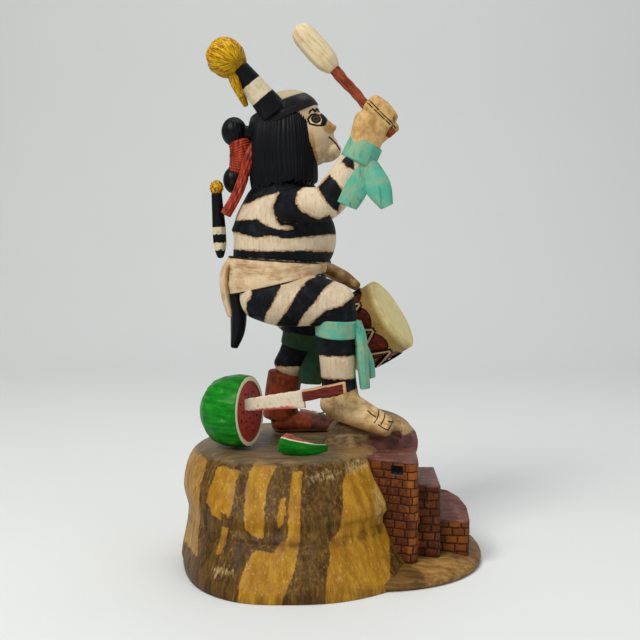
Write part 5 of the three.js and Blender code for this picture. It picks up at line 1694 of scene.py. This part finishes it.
def room_form(outline, height, slope, window, long, high):
    """A room: its rounded outline carried up the walls, over a soft edge and in across the roof. The
    joints between bricks are sunk and the window is pushed in, both by moving points inwards."""
    corners = np.asarray(outline, float)
    ring = np.concatenate([corners, corners[:1]])
    length = np.concatenate([[0], np.cumsum(np.linalg.norm(np.diff(ring, axis=0), axis=1))])
    s = np.linspace(0, length[-1], int(length[-1] / 0.55), endpoint=False)
    plan = np.stack([np.interp(s, length, ring[:, i]) for i in (0, 1)], -1)
    for _ in range(3):
        plan = (np.roll(plan, 1, axis=0) + 2 * plan + np.roll(plan, -1, axis=0)) / 4
    forward = unit(np.roll(plan, -1, axis=0) - np.roll(plan, 1, axis=0))
    inward = np.stack([-forward[:, 1], forward[:, 0]], -1)
    middle = plan.mean(axis=0)
    if np.einsum("ij,ij->", inward, middle - plan) < 0:
        inward = -inward

    def roof(place):
        return height - np.maximum(10 - place[..., 1], 0) * slope

    top = roof(plan)[None, :]
    rise = np.linspace(0, 1, int(height / 0.55))[:, None]
    z = rise * (top - 1.2)
    edge = brick_edge(s[None, :], z, long, high)
    sunk = 0.3 * (1 - eased(edge, 0.1, 0.8))
    if window is not None:
        hole = np.maximum(np.abs(s[None, :] - window[0]) - 3.5, np.abs(z - window[1]) - 2.3)
        sunk = np.where(hole < 0, 3.0, sunk * eased(hole, 0, 0.6))
    else:
        hole = 9 + 0 * z
    walls = plan[None] + inward[None] * sunk[..., None]
    rings = [np.concatenate([walls, z[..., None]], -1)]
    for inset, drop in ((0.15, 0.7), (0.5, 0.25), (1.2, 0.0)):
        rings.append(np.concatenate([plan + inward * inset, (top[0] - drop)[:, None]], -1)[None])
    for share in (0.9, 0.8, 0.65, 0.5, 0.35, 0.2, 0.1):
        flat = middle + (plan + inward * 1.2 - middle) * share
        rings.append(np.concatenate([flat, roof(flat)[:, None]], -1)[None])
    rings = np.concatenate(rings)
    extra = np.full((10, len(s)), 9.0)
    marks = {
        "reach": np.broadcast_to(s[None, :], rings.shape[:2]),
        "hole": np.concatenate([hole, extra]),
        "roof": np.concatenate([z - top, extra * 0]),
    }
    return skin(rings, [*middle, 0], [*middle, float(roof(middle))], marks)


def brick_finish(paint, long, high):
    finish = Finish("brick_paint")
    s, hole, roof = finish.mark("reach"), finish.mark("hole"), finish.mark("roof")
    z = finish.axes()[2]
    shake = (finish.noise(3.5, 2) - 0.5) * 1.5
    tall = z + shake
    row = (tall / high).floor()
    u = (s + shake * 0.7) / long + row * 0.5 + (row * 2.3).sine() * 0.19
    column = u.floor()
    u, v = u.modulo(1), (tall / high).modulo(1)
    edge = (u.least(1 - u) * long).least(v.least(1 - v) * high)
    own = finish.node("ShaderNodeTexWhiteNoise", {"noise_dimensions": "3D"}, {"Vector": finish.joint(column, row, 0)})
    x, y, _ = finish.axes()
    patches = finish.noise(2.4, 4, 0.7)
    colour = finish.mix(own, tone(70, 32, 14), tone(106, 56, 22))
    colour = finish.mix(patches.between(0.45, 0.68) * 0.7, colour, tone(58, 26, 12))
    colour = finish.mix(patches.between(0.42, 0.3) * 0.5, colour, tone(150, 92, 34))
    bright = (x + (own - 0.5) * 3).between(43, 45.5) * x.between(52, 50.5)
    bright = bright.most((x + y * 0.15 - 60 + own * 4).between(0, 5) * 0.55)
    bright = bright.most((z - 58).between(0, 4) * x.between(52, 51) * 0.4)
    lit = finish.mix(own, tone(132, 70, 18), tone(168, 98, 30))
    colour = finish.mix(bright * (0.3 + own * 0.45), colour, lit)
    joint = (edge + (patches - 0.5) * 0.5).between(0.5, 0.2)
    colour = finish.mix(joint * 0.9, colour, tone(38, 14, 8))
    plaster = finish.mix(finish.noise(3, 4, 0.65, (4, 1, 1)).between(0.35, 0.65), tone(82, 48, 40), tuple(paint.roof))
    plaster = finish.mix(finish.noise(6, 3).between(0.55, 0.7) * 0.5, plaster, tone(142, 100, 84))
    flat = roof.between(-1.7, -1.1)
    colour = finish.mix(flat, colour, plaster)
    colour = finish.mix(hole.between(0.35, 0.05), colour, tone(6, 5, 5))
    return carved(finish, colour, 0.45, 0.16, 0.3, 0.15, (1, 1, 1), 0.15, extra=joint * -0.3 * (1 - flat))


ROOMS = {
    "tall_room": (
        [[20, -38], [24, -43], [44, -53.4], [48, -52.6], [49.8, -49], [52, 10], [20, 10]], 67.0, 0.0, (21.4, 61.4),
    ),
    "middle_room": ([[46, -40], [61.5, -42.5], [63.3, -40.5], [64.4, 6], [46, 6]], 51.0, 0.0, None),
    "low_room": (
        [[50, -29], [79, -33], [81.6, -31], [82, -14], [79, -2], [73, 7], [64, 10], [50, 10]],
        37.0, np.tan(np.radians(12)), None,
    ),
}


class KACHINA_OT_mesa(bpy.types.Operator):
    """Carved mesa with its ridge and the ground round it"""

    bl_idname = "kachina.mesa"
    bl_label = "Mesa"

    def execute(self, context):
        sizes, paint = context.scene.kachina_sizes, context.scene.kachina_colours
        put("mesa", mesa_form(), mesa_finish(paint), "mesa_wood", "mesa_base")
        put("ground", ground_form(sizes.rock_grid / MM), ground_finish(paint), "mesa_wood", "mesa_base")
        return {"FINISHED"}


class KACHINA_OT_rooms(bpy.types.Operator):
    """Brick rooms beside the mesa"""

    bl_idname = "kachina.rooms"
    bl_label = "Rooms"

    def execute(self, context):
        sizes, paint = context.scene.kachina_sizes, context.scene.kachina_colours
        long, high = sizes.brick_length / MM, sizes.brick_height / MM
        material = brick_finish(paint, long, high)
        for name, (outline, height, slope, window) in ROOMS.items():
            put(name, room_form(outline, height, slope, window, long, high), material, "mesa_wood", "mesa_base")
        return {"FINISHED"}


# ---------------------------------------------------------------- stage


def lamp(name, place, target, width, power, colour=(1, 1, 1)):
    """A soft square lamp at a place, turned towards a target; metres and watts."""
    light = bpy.data.lights.new(name, "AREA")
    light.size = width
    light.energy = power
    light.color = colour
    holder = bpy.data.objects.new(name, light)
    way = np.asarray(target) - np.asarray(place)
    flat = np.hypot(way[0], way[1])
    holder.location = place
    holder.rotation_euler = (np.arctan2(flat, -way[2]), 0, np.arctan2(-way[0], way[1]))
    bpy.context.scene.collection.objects.link(holder)


LIT_POINT = (0, 0, 0.14)  # all lamps look here
CAMERA_LENS = 59.06
CAMERA_PLACE = (-0.0057, -0.630, 0.196)
CAMERA_DOWN = np.arctan(90 / 1050)  # how far the camera looks down


class KACHINA_OT_stage(bpy.types.Operator):
    """Plain floor and backdrop, soft studio light and the camera"""

    bl_idname = "kachina.stage"
    bl_label = "Stage"

    def execute(self, context):
        scene, paint = context.scene, context.scene.kachina_colours
        share = np.linspace(0, 1, 40)[:, None]
        bend = np.clip(share * 3 - 1, 0, 1) * np.pi / 2
        back = -1500 + 2300 * np.clip(share * 3, 0, 1) + 500 * np.sin(bend)
        high = 500 * (1 - np.cos(bend)) + 1500 * np.clip(share * 3 - 2, 0, 1) - 0.2
        wide = np.linspace(-2600, 2600, 12)[None, :]
        sheet = np.stack([wide + 0 * back, back + 0 * wide, high + 0 * wide], -1)
        index = np.arange(sheet.shape[0] * sheet.shape[1]).reshape(sheet.shape[:2])
        quads = np.stack([index[:-1, :-1], index[:-1, 1:], index[1:, 1:], index[1:, :-1]], -1).reshape(-1, 4)
        mesh = bpy.data.meshes.new("floor")
        mesh.from_pydata((sheet.reshape(-1, 3) * MM).tolist(), [], quads.tolist())
        mesh.shade_smooth()
        floor = bpy.data.objects.new("floor", mesh)
        scene.collection.objects.link(floor)
        finish = Finish("floor_paint")
        cloud = finish.noise(160, 3)
        colour = finish.shaded(tuple(paint.floor), 0.985 + cloud * 0.03)
        mesh.materials.append(finish.finish(colour, 0.75, finish.noise(2, 3) * 0.05, level=0.2))

        scene.view_settings.view_transform = "Standard"
        world = bpy.data.worlds.new("studio")
        world.use_nodes = True
        world.node_tree.nodes["Background"].inputs["Color"].default_value = (0.92, 0.95, 1, 1)
        world.node_tree.nodes["Background"].inputs["Strength"].default_value = 0.3
        scene.world = world
        lamp("key", (-0.75, -0.95, 1.25), LIT_POINT, 0.62, 21.5, (1, 0.98, 0.95))
        lamp("fill", (1.1, -0.9, 0.6), LIT_POINT, 1.0, 4.2, (0.95, 0.97, 1))
        lamp("top", (0.1, 0.3, 1.5), LIT_POINT, 0.9, 9)

        camera = bpy.data.cameras.new("camera")
        camera.lens = CAMERA_LENS
        camera.sensor_width = 36
        camera.clip_start, camera.clip_end = 0.01, 20
        holder = bpy.data.objects.new("camera", camera)
        holder.location = CAMERA_PLACE
        holder.rotation_euler = (np.pi / 2 - CAMERA_DOWN, 0, 0)
        scene.collection.objects.link(holder)
        scene.camera = holder
        return {"FINISHED"}


# ---------------------------------------------------------------- add-on

STEPS = (
    "stage", "mesa", "rooms", "body", "head", "bun", "cloth", "boot", "horns", "pendant", "drum", "beater",
    "melon", "slices", "knife",
)


class KACHINA_PT_panel(bpy.types.Panel):
    """Buttons for each group of pieces, with their sizes and paints"""

    bl_idname = "KACHINA_PT_panel"
    bl_label = "Kachina doll"
    bl_space_type = "VIEW_3D"
    bl_region_type = "UI"
    bl_category = "Kachina"

    def draw(self, context):
        layout = self.layout
        for step in STEPS:
            layout.operator("kachina." + step)
        for group in (context.scene.kachina_sizes, context.scene.kachina_colours):
            box = layout.box()
            for name in group.__annotations__:
                box.prop(group, name)


CLASSES = (
    KachinaColours, KachinaSizes, KACHINA_OT_stage, KACHINA_OT_mesa, KACHINA_OT_rooms, KACHINA_OT_body,
    KACHINA_OT_head, KACHINA_OT_bun, KACHINA_OT_cloth, KACHINA_OT_boot, KACHINA_OT_horns, KACHINA_OT_pendant,
    KACHINA_OT_drum, KACHINA_OT_beater, KACHINA_OT_melon, KACHINA_OT_slices, KACHINA_OT_knife, KACHINA_PT_panel,
)


def register():
    for one in CLASSES:
        bpy.utils.register_class(one)
    bpy.types.Scene.kachina_colours = bpy.props.PointerProperty(type=KachinaColours)
    bpy.types.Scene.kachina_sizes = bpy.props.PointerProperty(type=KachinaSizes)


def unregister():
    del bpy.types.Scene.kachina_sizes
    del bpy.types.Scene.kachina_colours
    for one in reversed(CLASSES):
        bpy.utils.unregister_class(one)


def main():
    register()
    for step in STEPS:
        getattr(bpy.ops.kachina, step)()


if __name__ == "__main__":
    main()
